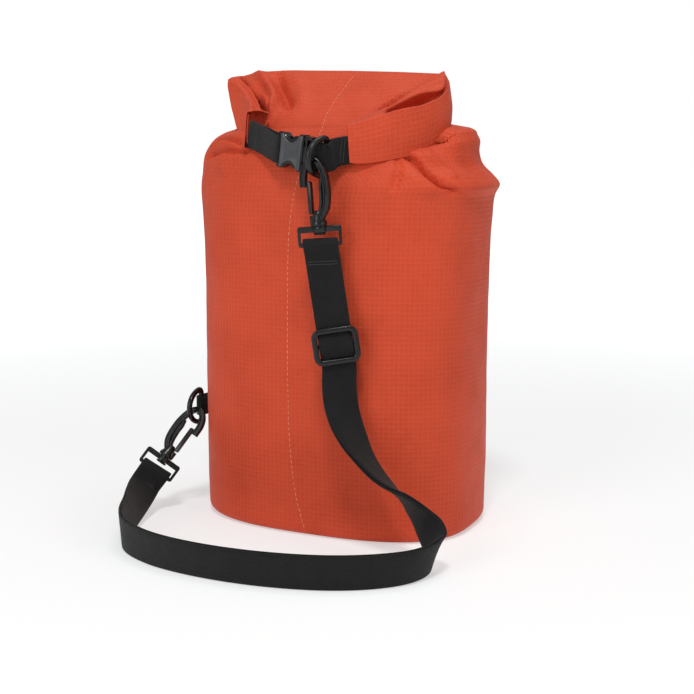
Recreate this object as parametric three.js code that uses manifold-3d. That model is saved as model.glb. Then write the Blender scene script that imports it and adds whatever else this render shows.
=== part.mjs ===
// A roll-top dry bag with a detachable shoulder strap, in millimetres.
// The origin is the middle of the base on the ground: X to the right, -Y to the buckle side, Z up.
import * as THREE from "three";
import { mergeVertices } from "three/addons/utils/BufferGeometryUtils.js";
import Module from "manifold-3d";

const wasm = await Module();
wasm.setup();

// ---- Driving dimensions ----
const BAG_HALF_WIDTH = 110.8;
const BAG_HALF_DEPTH = 75.7;
const OVAL_POWER = 2.75; // 2 is an ellipse, higher is squarer
const FABRIC = 1; // coated fabric with its seams
const BASE_EDGE = 8; // radius of the base's rounded edge
const BASE_LIP = 8; // how far the base's lip goes up inside the tube
const GAP = 0.3; // between pieces that lie against each other
const ROLL_HEIGHT = 33;
const ROLL_CORE = 5.4; // room inside the rolled mouth for its strip or the webbing
const ROLL_TURNS = 1.5;
const STRAP_WIDTH = 25;
const STRAP_THICKNESS = 1.6;
const CLOSURE_WIDTH = 20;
const CLOSURE_THICKNESS = 1.5;
const RING_WIRE = 4.2;
const RING_BAR = 26.4; // length of the D-ring's straight bar between the wire's centres
const RING_DEPTH = 18; // from the bar's centre to the bow's centre
const HOOK_LENGTH = 49;
const HOOK_LINK = 37.4; // where the ring's wire crosses the hook, from the swivel face
const HOOK_EYE = 1.2; // how far that is from the swivel's axis, towards the nose
const LOOP_WIDTH = 31.4;
const LOOP_LENGTH = 14.6;
const BUCKLE_THICKNESS = 8;

const v3 = (x, y, z) => new THREE.Vector3(x, y, z);
const v2 = (x, y) => new THREE.Vector2(x, y);
const UP = v3(0, 0, 1);

// ---- Materials ----
const finish = (color, roughness) => new THREE.MeshStandardMaterial({ color, roughness, metalness: 0 });
const SHELL_FABRIC = { color: 0xcd5034, roughness: 0.62 };
const BASE_FABRIC = { color: 0xc44a30, roughness: 0.6 };
const SEAM_TAPE = { color: 0xd8d2c8, roughness: 0.4 };
const STRIP_PLASTIC = { color: 0xe4e0d8, roughness: 0.5 };
const WEBBING = { color: 0x232325, roughness: 0.9 };
const HARDWARE = { color: 0x37383a, roughness: 0.42 };
const BUCKLE_PLASTIC = { color: 0x4b4c4f, roughness: 0.4 };

// ---- Geometry helpers ----

// Turns faces round when they point inwards.
function outward(vertices, faces) {
  let volume = 0;
  for (let i = 0; i < faces.length; i += 3) {
    const [a, b, c] = [0, 1, 2].map((k) => vertices[faces[i + k]]);
    volume += a.dot(b.clone().cross(c));
  }
  if (volume < 0) faces.reverse();
  return new THREE.BufferGeometry().setFromPoints(vertices).setIndex(faces);
}

// A solid through rings with the same number of points. Without an outline it closes on its first
// ring, and otherwise the flat outline caps its ends. The second half of each ring is cut along the
// other diagonal, so that both faces of a twisted strip are cut the same way.
function skin(rings, outline) {
  const count = rings[0].length;
  const faces = [];
  const steps = outline ? rings.length - 1 : rings.length;
  for (let r = 0; r < steps; r++) {
    const below = r * count;
    const above = ((r + 1) % rings.length) * count;
    for (let i = 0; i < count; i++) {
      const j = (i + 1) % count;
      const [low, high] = i < count / 2 ? [below + i, above + j] : [below + j, above + i];
      faces.push(below + i, below + j, high, low, above + j, above + i);
    }
  }
  if (outline) {
    const last = (rings.length - 1) * count;
    for (const [a, b, c] of THREE.ShapeUtils.triangulateShape(outline, [])) {
      faces.push(a, c, b, last + a, last + b, last + c);
    }
  }
  return outward(rings.flat(), faces);
}

// A flat outline carried along frames, each with an origin and the outline's two directions.
function sweep(outline, frames) {
  const loop = THREE.ShapeUtils.isClockWise(outline) ? [...outline].reverse() : outline;
  const place = ({ origin, across, through }) =>
    loop.map((p) => origin.clone().addScaledVector(across, p.x).addScaledVector(through, p.y));
  return skin(frames.map(place), loop);
}

const rectangle = (width, height) =>
  [v2(-1, -1), v2(1, -1), v2(1, 1), v2(-1, 1)].map((p) => v2((p.x * width) / 2, (p.y * height) / 2));

// Frames along points: each has its width direction made square to the path.
function framesAlong(points, widths, offset = 0) {
  return points.map((point, i) => {
    const before = points[Math.max(i - 1, 0)];
    const after = points[Math.min(i + 1, points.length - 1)];
    const along = after.clone().sub(before).normalize();
    const wide = widths[i] ?? widths[0];
    const across = wide.clone().addScaledVector(along, -wide.dot(along)).normalize();
    const through = along.clone().cross(across);
    return { origin: point.clone().addScaledVector(through, offset), across, through };
  });
}

// Webbing along points, with its width direction at each.
const ribbon = (points, widths, width, thickness) =>
  sweep(rectangle(width, thickness), framesAlong(points, widths));

// A round bar along points in a plane whose normal is given. A closed one has no ends.
function roundBar(points, normal, radius, closed = false, sides = 10) {
  const circle = [...Array(sides).keys()].map((i) => {
    const turn = (2 * Math.PI * i) / sides;
    return v2(radius * Math.cos(turn), radius * Math.sin(turn));
  });
  const around = closed ? [points.at(-1), ...points, points[0]] : points;
  let frames = framesAlong(around, [normal]);
  if (closed) frames = frames.slice(1, -1);
  const rings = frames.map(({ origin, across, through }) =>
    circle.map((p) => origin.clone().addScaledVector(across, p.x).addScaledVector(through, p.y)),
  );
  return skin(rings, closed ? null : circle);
}

function extrude(shape, depth, bevel = 0, curveSegments = 6) {
  const geometry = new THREE.ExtrudeGeometry(shape, {
    depth: depth - 2 * bevel,
    bevelEnabled: bevel > 0,
    bevelSize: bevel,
    bevelThickness: bevel,
    bevelOffset: -bevel,
    bevelSegments: 1,
    curveSegments,
  });
  return geometry.translate(0, 0, bevel - depth / 2);
}

function roundedRectangle(width, height, radius) {
  const [x, y] = [width / 2, height / 2];
  const shape = new THREE.Shape();
  shape.moveTo(x, radius - y);
  shape.absarc(x - radius, y - radius, radius, 0, Math.PI / 2);
  shape.absarc(radius - x, y - radius, radius, Math.PI / 2, Math.PI);
  shape.absarc(radius - x, radius - y, radius, Math.PI, 1.5 * Math.PI);
  shape.absarc(x - radius, radius - y, radius, 1.5 * Math.PI, 2 * Math.PI);
  return shape;
}

const box = (x, y, z, cx = 0, cy = 0, cz = 0) => new THREE.BoxGeometry(x, y, z).translate(cx, cy, cz);

// ---- Joining and cutting ----
function solidOf(geometry) {
  const bare = geometry.clone();
  bare.deleteAttribute("normal");
  bare.deleteAttribute("uv");
  const merged = mergeVertices(bare, 1e-4);
  return new wasm.Manifold(
    new wasm.Mesh({
      numProp: 3,
      vertProperties: merged.attributes.position.array,
      triVerts: new Uint32Array(merged.index.array),
    }),
  );
}

function geometryOf(solid) {
  const mesh = solid.getMesh();
  return new THREE.BufferGeometry()
    .setAttribute("position", new THREE.BufferAttribute(mesh.vertProperties, 3))
    .setIndex(new THREE.BufferAttribute(mesh.triVerts, 1));
}

const join = (first, ...rest) =>
  geometryOf(rest.reduce((sum, g) => sum.add(solidOf(g)), solidOf(first)));
const cut = (first, ...rest) =>
  geometryOf(rest.reduce((left, g) => left.subtract(solidOf(g)), solidOf(first)));

// ---- The object ----
const bag = new THREE.Group();

function add(parent, name, geometry, { color, roughness }) {
  const mesh = new THREE.Mesh(geometry, finish(color, roughness));
  mesh.name = name;
  parent.add(mesh);
  return mesh;
}

// A group whose X, Y and Z run along across, along and their normal.
function placed(origin, across, along) {
  const y = along.clone().normalize();
  const x = across.clone().addScaledVector(y, -across.dot(y)).normalize();
  const group = new THREE.Group();
  group.matrixAutoUpdate = false;
  group.matrix.makeBasis(x, y, x.clone().cross(y)).setPosition(origin);
  bag.add(group);
  return group;
}

// How far the bag's wall reaches to each side where nothing pulls it in.
const FULL_OVAL = {
  left: -BAG_HALF_WIDTH,
  right: BAG_HALF_WIDTH,
  front: -BAG_HALF_DEPTH,
  back: BAG_HALF_DEPTH,
};

// The wall from the base's edge up to the flattened mouth, which leans back and stands left of the
// middle.
const WALL = [
  { z: BASE_EDGE, ...FULL_OVAL },
  { z: 242, ...FULL_OVAL },
  { z: 258, left: -110.5, right: 110.5, front: -73, back: 74 },
  { z: 270, left: -110, right: 109.5, front: -67, back: 70 },
  { z: 282, left: -107, right: 104, front: -56, back: 63 },
  { z: 294, left: -102, right: 90, front: -44, back: 49 },
  { z: 306, left: -99, right: 76, front: -31, back: 22 },
  { z: 326, left: -98, right: 67, front: -10, back: 18.5 },
  { z: 344, left: -100, right: 61, front: 12, back: 19 },
];
const WALL_POINTS = 56;

function wallAt(z) {
  const i = Math.max(1, WALL.findIndex((level) => level.z >= z));
  const [low, high] = [WALL[i - 1], WALL[i]];
  const part = Math.max(0, (z - low.z) / (high.z - low.z));
  const mix = (key) => THREE.MathUtils.lerp(low[key], high[key], part);
  return { z, left: mix("left"), right: mix("right"), front: mix("front"), back: mix("back") };
}

// A point of the oval wall at a turn around it, moved in by inset.
function wallPoint({ z, left, right, front, back }, turn, inset) {
  const bend = (value) => Math.sign(value) * Math.abs(value) ** (2 / OVAL_POWER);
  const x = (left + right) / 2 + ((right - left) / 2 - inset) * bend(Math.cos(turn));
  const y = (front + back) / 2 + ((back - front) / 2 - inset) * bend(Math.sin(turn));
  return v3(x, y, z);
}

function wallRing(level, inset) {
  const step = (2 * Math.PI) / WALL_POINTS;
  return [...Array(WALL_POINTS).keys()].map((i) => wallPoint(level, step * i, inset));
}

// The tube of fabric, open along its mouth and at its base.
function bagBody() {
  const rings = WALL.map((level) => wallRing(level, 0));
  const inside = WALL.map((level) => wallRing(level, FABRIC)).reverse();
  rings[0] = wallRing({ ...WALL[0], z: BASE_EDGE + GAP }, 0);
  inside[inside.length - 1] = wallRing({ ...WALL[0], z: BASE_EDGE + GAP }, FABRIC);
  return skin([...rings, ...inside], null);
}

// The oval base: a tray with a rounded edge, whose lip stands inside the tube.
function basePanel() {
  const rings = [];
  const edge = (radius, from, to) => {
    for (let i = 0; i <= 3; i++) {
      const turn = THREE.MathUtils.lerp(from, to, i / 3);
      const level = { ...WALL[0], z: BASE_EDGE - radius * Math.cos(turn) };
      rings.push(wallRing(level, BASE_EDGE - radius * Math.sin(turn)));
    }
  };
  edge(BASE_EDGE, 0, Math.PI / 2);
  const lip = FABRIC + GAP;
  for (const [z, inset] of [
    [BASE_EDGE, lip],
    [BASE_EDGE + BASE_LIP, lip],
    [BASE_EDGE + BASE_LIP, lip + FABRIC],
  ]) {
    rings.push(wallRing({ ...WALL[0], z }, inset));
  }
  edge(BASE_EDGE - lip - FABRIC, Math.PI / 2, 0);
  return skin(rings, rings[0].map((p) => v2(p.x, p.y)));
}

// Tape over the lip's upper edge, all round inside the tube.
function baseTape() {
  const [low, high] = [BASE_EDGE + BASE_LIP + GAP, BASE_EDGE + BASE_LIP + 14];
  const [outer, inner] = [FABRIC + GAP, FABRIC + 2 * GAP + 0.2];
  return skin(
    [
      [low, outer],
      [high, outer],
      [high, inner],
      [low, inner],
    ].map(([z, inset]) => wallRing({ ...WALL[0], z }, inset)),
    null,
  );
}

// Tape over the inside of the tube's upright seam, at the front.
const SEAM_TURN = 1.475 * Math.PI;
function seamTape() {
  const [low, high, half] = [BASE_EDGE + BASE_LIP + 16, 300, 0.045];
  const [outer, inner] = [FABRIC + GAP, FABRIC + 2 * GAP + 0.2];
  const heights = [low, ...WALL.map((level) => level.z).filter((z) => z > low && z < high), high];
  const rings = heights.map((z) => {
    const at = (side, inset) => wallPoint(wallAt(z), SEAM_TURN + side * half, inset);
    return [at(-1, outer), at(1, outer), at(1, inner), at(-1, inner)];
  });
  return skin(rings, rectangle(2, 1));
}

add(bag, "bag_body", bagBody(), SHELL_FABRIC);
add(bag, "base_panel", basePanel(), BASE_FABRIC);
add(bag, "base_seam_tape", baseTape(), SEAM_TAPE);
add(bag, "upright_seam_tape", seamTape(), SEAM_TAPE);

// ---- The rolled mouth ----

// The roll's end view: one sheet of fabric wound into a flat spiral around its core.
function rollOutline() {
  const pitch = FABRIC + GAP;
  const steps = ROLL_TURNS * 8;
  const straight = (ROLL_HEIGHT - ROLL_CORE) / 2 - ROLL_TURNS * pitch;
  const side = (offset) =>
    [...Array(steps + 1).keys()].map((i) => {
      const turn = -Math.PI / 2 + (i / steps) * ROLL_TURNS * 2 * Math.PI;
      const radius = ROLL_CORE / 2 + offset + (pitch * i) / 8;
      const [x, y] = [radius * Math.sin(turn), radius * Math.cos(turn)];
      const shift = Math.abs(y) < 1e-9 ? 0 : Math.sign(y) * straight;
      return v2(y + shift, x);
    });
  return [...side(0), ...side(FABRIC).reverse()];
}

// Where the roll bends round to the buckle side at each end.
const ROLL_Y = 28;
const ROLL_Z = 327.5;
const ROLL_BREAK = 5; // room between the roll's back and its bent ends
const LEFT_ARM = [
  [-98, ROLL_Y, ROLL_Z],
  [-113, 16, 325],
  [-115, -8, 320],
  [-102, -34, 312],
  [-78, -54, 306],
  [-46, -67, 301],
];
const RIGHT_ARM = [
  [60, ROLL_Y, ROLL_Z],
  [78, 19, 325],
  [88, -4, 318],
  [84, -33, 308],
  [66, -59, 299],
  [38, -77, 293],
];

function rollArm(corners, steps) {
  const curve = new THREE.CatmullRomCurve3(corners.map((p) => v3(...p)), false, "centripetal");
  return sweep(rollOutline(), framesAlong(curve.getPoints(steps), [UP]));
}

function rollBack() {
  const [left, right] = [LEFT_ARM[0][0] + ROLL_BREAK, RIGHT_ARM[0][0] - ROLL_BREAK];
  return sweep(rollOutline(), framesAlong([v3(left, ROLL_Y, ROLL_Z), v3(right, ROLL_Y, ROLL_Z)], [UP]));
}

function mouthStrip() {
  const length = RIGHT_ARM[0][0] - LEFT_ARM[0][0] - 10;
  return box(length, 1.2, ROLL_HEIGHT - 12, (RIGHT_ARM[0][0] + LEFT_ARM[0][0]) / 2, ROLL_Y, ROLL_Z);
}

add(bag, "mouth_roll_back", rollBack(), SHELL_FABRIC);
add(bag, "mouth_roll_left", rollArm(LEFT_ARM, 14), SHELL_FABRIC);
add(bag, "mouth_roll_right", rollArm(RIGHT_ARM, 14), SHELL_FABRIC);
add(bag, "mouth_stiffener", mouthStrip(), STRIP_PLASTIC);

// ---- The closure: webbing and side-release buckle ----

// A strip that runs to a bar, turns round it and runs back, seen from its edge: x is along the
// strip, and the bar's centre is at the origin. Its layers stay apart over the room past the bar.
function turnedEnd(radius, length, spread, room) {
  const points = [v2(length, spread), v2(room, radius)];
  for (let i = 0; i <= 6; i++) {
    const turn = Math.PI / 2 + (Math.PI * i) / 6;
    points.push(v2(radius * Math.cos(turn), radius * Math.sin(turn)));
  }
  points.push(v2(room, -radius), v2(length, -spread));
  return points;
}

// The buckle's own frame: X along it from the female half to the male half, Y up its width.
const BUCKLE_CENTRE = v3(5.5, -86.3, 288);
const BUCKLE_ALONG = v3(0.957, -0.25, -0.14).normalize();
const BUCKLE_UP = UP.clone().addScaledVector(BUCKLE_ALONG, -UP.dot(BUCKLE_ALONG)).normalize();
const buckle = placed(BUCKLE_CENTRE, BUCKLE_ALONG, BUCKLE_UP);
const BAR_HALF_LENGTH = 1.8;
const BAR_HALF_HEIGHT = 1.5;
const BAR_RADIUS = Math.hypot(BAR_HALF_LENGTH, BAR_HALF_HEIGHT);
const FEMALE_BAR = -20; // how far along the buckle its bars are
const MALE_BAR = 14;
const RING_FROM_BAR = 6.5; // the D-ring's bar, from the male half's
const RING_ROOM = RING_FROM_BAR + 2.4;
const CAVITY = { depth: 12, height: 5, half: 10.6 };
const COLLAR = 4; // length of the female half's mouth beyond its side windows
const ARM_ROOT = v2(5.7, 7.4);
const ARM_RADIUS = 1.1;

function femaleShape() {
  const shape = new THREE.Shape();
  shape.moveTo(COLLAR, -13.3);
  shape.lineTo(COLLAR, 13.3);
  shape.lineTo(0, 13.3);
  shape.quadraticCurveTo(-1, 8.6, -5.5, 8.4);
  shape.quadraticCurveTo(-11, 8.6, -15, 12.6);
  shape.lineTo(-20.5, 12.8);
  shape.quadraticCurveTo(-22, 12.8, -22, 11.3);
  shape.lineTo(-22, -11.3);
  shape.quadraticCurveTo(-22, -12.8, -20.5, -12.8);
  shape.lineTo(-15, -12.6);
  shape.quadraticCurveTo(-11, -8.6, -5.5, -8.4);
  shape.quadraticCurveTo(-1, -8.6, 0, -13.3);
  return shape;
}

function buckleFemale() {
  const slot = box(4.6, CLOSURE_WIDTH + 1, 20, FEMALE_BAR + BAR_HALF_LENGTH + 2.3);
  const thinEnd = [-1, 1].map((side) =>
    box(6, 40, 4, FEMALE_BAR - 1.2, 0, side * (BAR_HALF_HEIGHT + 2)),
  );
  const cavityLength = CAVITY.depth + COLLAR + 1;
  const cavity = box(cavityLength, 2 * CAVITY.half, CAVITY.height, COLLAR + 1 - cavityLength / 2);
  return cut(extrude(femaleShape(), BUCKLE_THICKNESS, 0.8), slot, cavity, ...thinEnd);
}

function buckleMale() {
  const length = MALE_BAR + BAR_HALF_LENGTH - COLLAR - GAP;
  const body = extrude(roundedRectangle(length, 25.6, 1.5), BUCKLE_THICKNESS - 0.4, 0.8);
  body.translate(COLLAR + GAP + length / 2, 0, 0);
  const slot = box(4.4, CLOSURE_WIDTH + 1, 20, MALE_BAR - BAR_HALF_LENGTH - 2.2);
  const thinEnd = [-1, 1].map((side) =>
    box(6, 40, 4, MALE_BAR + 1.2, 0, side * (BAR_HALF_HEIGHT + 2)),
  );
  const rooms = [-1, 1].flatMap((side) => {
    const round = new THREE.CylinderGeometry(1, 1, 20, 20);
    round.rotateX(Math.PI / 2).scale(ARM_RADIUS + GAP, ARM_RADIUS + GAP, 1);
    round.translate(ARM_ROOT.x, side * ARM_ROOT.y, 0);
    return [round, box(4, 2 * ARM_RADIUS + 2.4, 20, ARM_ROOT.x - 2, side * ARM_ROOT.y, 0)];
  });
  const tongue = box(16, 3.6, 2.2, COLLAR + 2 - 8, 0, 0);
  return join(cut(body, slot, ...thinEnd, ...rooms), tongue);
}

// One of the sprung arms: a bow that stands in the side window, with a shoulder behind the collar.
function latchArm(side) {
  const shape = new THREE.Shape();
  const inner = ARM_ROOT.y - ARM_RADIUS;
  shape.absarc(ARM_ROOT.x, ARM_ROOT.y, ARM_RADIUS, -Math.PI / 2, Math.PI / 2);
  shape.lineTo(-1.3, ARM_ROOT.y + ARM_RADIUS);
  shape.lineTo(-1.5, 11.6);
  shape.quadraticCurveTo(-5, 12.4, -8.5, 9.4);
  shape.quadraticCurveTo(-11, 8.2, -11.2, 6.6);
  shape.quadraticCurveTo(-9.5, 5.4, -7.5, 6.6);
  shape.quadraticCurveTo(-4, 9.4, -1, inner + 0.4);
  shape.lineTo(1, inner);
  const arm = extrude(shape, CAVITY.height - 2 * GAP - 0.4);
  return side > 0 ? arm : arm.applyMatrix4(new THREE.Matrix4().makeRotationX(Math.PI));
}

// Webbing folded round a bar of the buckle, with its tails running into the end of a roll arm.
function closureWebbing(bar, tail, room) {
  const length = Math.hypot(tail.x, tail.z);
  const [along, through] = [v3(tail.x, 0, tail.z).normalize(), v3(-tail.z, 0, tail.x).normalize()];
  const spread = CLOSURE_THICKNESS / 2 + 0.25;
  const radius = BAR_RADIUS + GAP + CLOSURE_THICKNESS / 2;
  const points = turnedEnd(radius, length, spread, room).map((p) => {
    const rise = tail.y * Math.max(0, (p.x - room) / (length - room));
    return v3(bar, rise, 0).addScaledVector(along, p.x).addScaledVector(through, p.y);
  });
  return ribbon(points, [v3(0, 1, 0)], CLOSURE_WIDTH, CLOSURE_THICKNESS);
}

add(buckle, "buckle_female", buckleFemale(), BUCKLE_PLASTIC);
add(buckle, "buckle_male", buckleMale(), HARDWARE);
add(buckle, "latch_arm_upper", latchArm(1), HARDWARE);
add(buckle, "latch_arm_lower", latchArm(-1), HARDWARE);

// Where a roll arm's webbing starts, just off the arm's end, seen from a bar of the buckle.
const TAIL_GAP = 1.2;
function tailTo(corners, bar, lower) {
  const [before, end] = corners.slice(-2).map((p) => v3(...p));
  const start = end.clone().addScaledVector(end.clone().sub(before).normalize(), TAIL_GAP);
  start.z -= lower;
  return start.applyMatrix4(buckle.matrix.clone().invert()).sub(v3(bar, 0, 0));
}
const leftTail = tailTo(LEFT_ARM, FEMALE_BAR, 0);
const rightTail = tailTo(RIGHT_ARM, MALE_BAR, 3.5);
add(buckle, "closure_webbing_left", closureWebbing(FEMALE_BAR, leftTail, 3), WEBBING);
add(buckle, "closure_webbing_right", closureWebbing(MALE_BAR, rightTail, RING_ROOM), WEBBING);

// ---- The two D-rings, and the tab that holds the lower one ----

// A point of a D-ring's bow: how far it is along the bar, and how far in front of it.
const RING_CORNER = 2;
const ringBow = (turn) =>
  v2((RING_BAR / 2) * Math.sin(turn), RING_CORNER + (RING_DEPTH - RING_CORNER) * Math.cos(turn));

// A D-ring in a plane: its straight bar runs along up, and its bow stands out along forward.
function dRing(up, forward) {
  const points = [v2(-RING_BAR / 2 + RING_CORNER, 0), v2(RING_BAR / 2 - RING_CORNER, 0)];
  const bow = 14;
  for (let i = 0; i <= bow; i++) points.push(ringBow(Math.PI / 2 - (Math.PI * i) / bow));
  const place = (p) => up.clone().multiplyScalar(p.x).addScaledVector(forward, p.y);
  return roundBar(points.map(place), up.clone().cross(forward).normalize(), RING_WIRE / 2, true, 10);
}

// A level direction, by its angle from +X.
const heading = (degrees) => v3(1, 0, 0).applyAxisAngle(UP, (degrees * Math.PI) / 180);

// A direction made square to another.
const square = (direction, to) =>
  direction.clone().addScaledVector(to, -direction.dot(to)).normalize();

// The upper ring's bar lies in the fold of the right closure webbing, next to the buckle.
const upperRingBar = v3(rightTail.x, 0, rightTail.z).setLength(RING_FROM_BAR).add(v3(MALE_BAR, 0, 0));
const UPPER_RING = {
  bar: upperRingBar.applyMatrix4(buckle.matrix),
  up: BUCKLE_UP,
  forward: square(heading(-105), BUCKLE_UP),
};
const LOWER_RING = { bar: v3(-117.2, -29, 82), up: UP, forward: heading(-90) };

for (const [name, ring] of [["d_ring_upper", UPPER_RING], ["d_ring_lower", LOWER_RING]]) {
  add(bag, name, dRing(ring.up, ring.forward).translate(...ring.bar.toArray()), HARDWARE);
}

// The tab is webbing folded round the lower ring's bar, on a patch on the bag's side.
const TAB_WIDTH = 16;
const PATCH = { from: -16, to: 34, height: 34, thickness: 1.1 };

function tabPatch() {
  const steps = 8;
  const edge = (inset) =>
    [...Array(steps + 1).keys()].map((i) => {
      const y = THREE.MathUtils.lerp(PATCH.from, PATCH.to, i / steps);
      const bend = (1 - Math.abs(y / BAG_HALF_DEPTH) ** OVAL_POWER) ** (1 / OVAL_POWER);
      return v2(-BAG_HALF_WIDTH * bend - inset, y);
    });
  const outline = [...edge(GAP), ...edge(GAP + PATCH.thickness).reverse()];
  return extrude(new THREE.Shape(outline), PATCH.height).translate(0, 0, LOWER_RING.bar.z);
}

function ringTab() {
  const radius = RING_WIRE / 2 + GAP + CLOSURE_THICKNESS / 2;
  const wall = -BAG_HALF_WIDTH - GAP - PATCH.thickness - GAP - CLOSURE_THICKNESS / 2;
  const outerLayer = wall - CLOSURE_THICKNESS - GAP;
  const [x, y] = [LOWER_RING.bar.x, LOWER_RING.bar.y];
  const points = [v2(outerLayer, PATCH.to - 6), v2(outerLayer, -6), v2(x - 1.2, -18)];
  for (let i = 0; i <= 8; i++) {
    const turn = Math.PI + (Math.PI * i) / 8;
    points.push(v2(x + radius * Math.cos(turn), y + radius * Math.sin(turn)));
  }
  points.push(v2(wall - 0.2, -18), v2(wall, -8), v2(wall, PATCH.to - 6));
  const path = points.map((p) => v3(p.x, p.y, LOWER_RING.bar.z));
  return ribbon(path, [UP], TAB_WIDTH, CLOSURE_THICKNESS);
}

add(bag, "tab_patch", tabPatch(), BASE_FABRIC);
add(bag, "ring_tab", ringTab(), WEBBING);

// ---- Snap hooks ----

// A hook's own frame: the swivel's face is at Y 0, the hook runs up Y, and Z is its thickness.
const HOOK_BODY = 4.6;
const STEM_RADIUS = 3;
const LOOP_BAR = 4.2;
const GATE_ROOT = v2(-5.2, 9.5);
const GATE_TIP = 31.5;

function snapHook() {
  const path = [
    [0, 5],
    [6.4, 12],
    [8.3, 22],
    [7.6, 34],
    [4.2, 43.2],
    [-1, HOOK_LENGTH - 2.3],
    [-6.2, 43.4],
    [-9.3, 37],
    [-9.8, 27.5],
  ];
  const curve = new THREE.CatmullRomCurve3(path.map(([x, y]) => v3(x, y, 0)), false, "centripetal");
  const body = sweep(rectangle(HOOK_BODY, 4.6), framesAlong(curve.getPoints(28), [v3(0, 0, 1)]));
  const turned = new THREE.LatheGeometry(
    [
      v2(0, -LOOP_BAR - GAP - 1.6),
      v2(4.4, -LOOP_BAR - GAP - 1.6),
      v2(4.4, -LOOP_BAR - GAP),
      v2(STEM_RADIUS, -LOOP_BAR - GAP),
      v2(STEM_RADIUS, GAP),
      v2(5.4, GAP),
      v2(5.4, 1.8),
      v2(3.4, 4),
      v2(3.4, 10),
      v2(0, 10),
    ],
    16,
  );
  const root = box(5, 6, HOOK_BODY - 0.6, GATE_ROOT.x + 1.4, GATE_ROOT.y - 4.8);
  return join(body, turned, root);
}

function hookGate() {
  const shape = new THREE.Shape();
  const half = 1.4;
  shape.absarc(GATE_ROOT.x, GATE_ROOT.y, half, Math.PI, 2 * Math.PI);
  shape.lineTo(GATE_ROOT.x + half, GATE_TIP - 1);
  shape.lineTo(GATE_ROOT.x + half - 1, GATE_TIP);
  shape.lineTo(GATE_ROOT.x - half, GATE_TIP);
  return extrude(shape, HOOK_BODY - 1);
}

// The square swivel loop: a boss with a hole for the hook's stem, and a bar for the webbing.
function swivelLoop() {
  const outer = extrude(roundedRectangle(LOOP_WIDTH, LOOP_LENGTH, 2), 4, 0.6);
  outer.translate(0, -LOOP_LENGTH / 2, 0);
  const windowLength = LOOP_LENGTH - LOOP_BAR - 3;
  const window = box(STRAP_WIDTH + 2, windowLength, 10, 0, -LOOP_BAR - windowLength / 2);
  const boss = new THREE.CylinderGeometry(5.2, 5.2, LOOP_BAR, 16).translate(0, -LOOP_BAR / 2, 0);
  const hole = new THREE.CylinderGeometry(STEM_RADIUS + GAP, STEM_RADIUS + GAP, 3 * LOOP_BAR, 16);
  return cut(join(cut(outer, window), boss), hole);
}

const LOOP_BAR_FROM_SWIVEL = 1.5 - LOOP_LENGTH; // the middle of the bar that holds the strap

// Each hook hangs on the lower part of its ring's bow.
function linkOf({ bar, up, forward }, degrees) {
  const bow = ringBow((degrees * Math.PI) / 180);
  return bar.clone().addScaledVector(up, bow.x).addScaledVector(forward, bow.y);
}
const UPPER_LINK = linkOf(UPPER_RING, -57);
const LOWER_LINK = linkOf(LOWER_RING, -50);
const UPPER_HOOK_AXIS = v3(-0.047, -0.068, 0.997).normalize();
const LOWER_HOOK_AXIS = v3(0.42, 0.47, 0.775).normalize();

function addHook(name, link, axis, hookAcross, loopAcross) {
  const towardNose = square(hookAcross, axis);
  const swivel = link
    .clone()
    .addScaledVector(axis, -HOOK_LINK)
    .addScaledVector(towardNose, HOOK_EYE);
  const hook = placed(swivel, hookAcross, axis);
  add(hook, "hook_" + name, snapHook(), HARDWARE);
  add(hook, "hook_gate_" + name, hookGate(), HARDWARE);
  const loop = placed(swivel, loopAcross, axis);
  add(loop, "swivel_loop_" + name, swivelLoop(), HARDWARE);
  return swivel.addScaledVector(axis, LOOP_BAR_FROM_SWIVEL);
}

const UPPER_STRAP_ACROSS = v3(0.905, 0.42, 0.05);
const LOWER_STRAP_ACROSS = v3(0.8, 0.28, -0.53);
const UPPER_HOOK_ACROSS = heading(-2);
const LOWER_HOOK_ACROSS = v3(-0.87, 0.06, 0.43);
const upperBar = addHook("upper", UPPER_LINK, UPPER_HOOK_AXIS, UPPER_HOOK_ACROSS, UPPER_STRAP_ACROSS);
const lowerBar = addHook("lower", LOWER_LINK, LOWER_HOOK_AXIS, LOWER_HOOK_ACROSS, LOWER_STRAP_ACROSS);

// ---- The shoulder strap ----

// The strap's middle line and its width direction, from below the slider to the lower hook:
// it hangs, turns edge-on at the bag's right, runs along the ground standing on its edge and
// rises to the bag's left side.
const COURSE = [
  [[37.2, -90.6, 137], [0.9, 0.44, 0.1]],
  [[37.4, -91, 125], [0.88, 0.47, 0.05]],
  [[38.8, -91.6, 112], [0.82, 0.57, 0.05]],
  [[42.9, -92.3, 99], [0.58, 0.78, 0.25]],
  [[50.3, -93.2, 85.5], [0.28, 0.93, 0.25]],
  [[59.5, -94.2, 72.8], [-0.02, 0.99, 0.11]],
  [[71, -95.2, 61], [-0.22, 0.97, 0]],
  [[84, -96, 51.5], [-0.42, 0.89, -0.17]],
  [[94, -97.3, 45], [-0.49, 0.74, -0.45]],
  [[104, -98.6, 37], [-0.55, 0.53, -0.65]],
  [[114, -100.6, 26.5], [-0.53, 0.08, -0.84]],
  [[120.5, -108, 18.5], [-0.39, -0.1, -0.91]],
  [[122, -121, 14.5], [-0.28, 0.06, -0.96]],
  [[115.5, -138.5, 13.2], [-0.18, 0.14, -0.97]],
  [[97, -157.5, 12.8], [-0.08, 0.13, -0.99]],
  [[66, -175, 12.8], [-0.02, 0.12, -0.99]],
  [[20, -186.5, 12.8], [0, 0.12, -0.99]],
  [[-30, -188, 12.8], [0, 0.12, -0.99]],
  [[-72, -180, 12.8], [0, 0.1, -1]],
  [[-103, -163, 12.9], [0.02, 0.06, -1]],
  [[-119, -142, 13.4], [0.12, 0.03, -0.99]],
  [[-129, -118, 14.6], [0.32, 0.05, -0.95]],
  [[-137.5, -97, 16.6], [0.52, 0.13, -0.84]],
];
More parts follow.
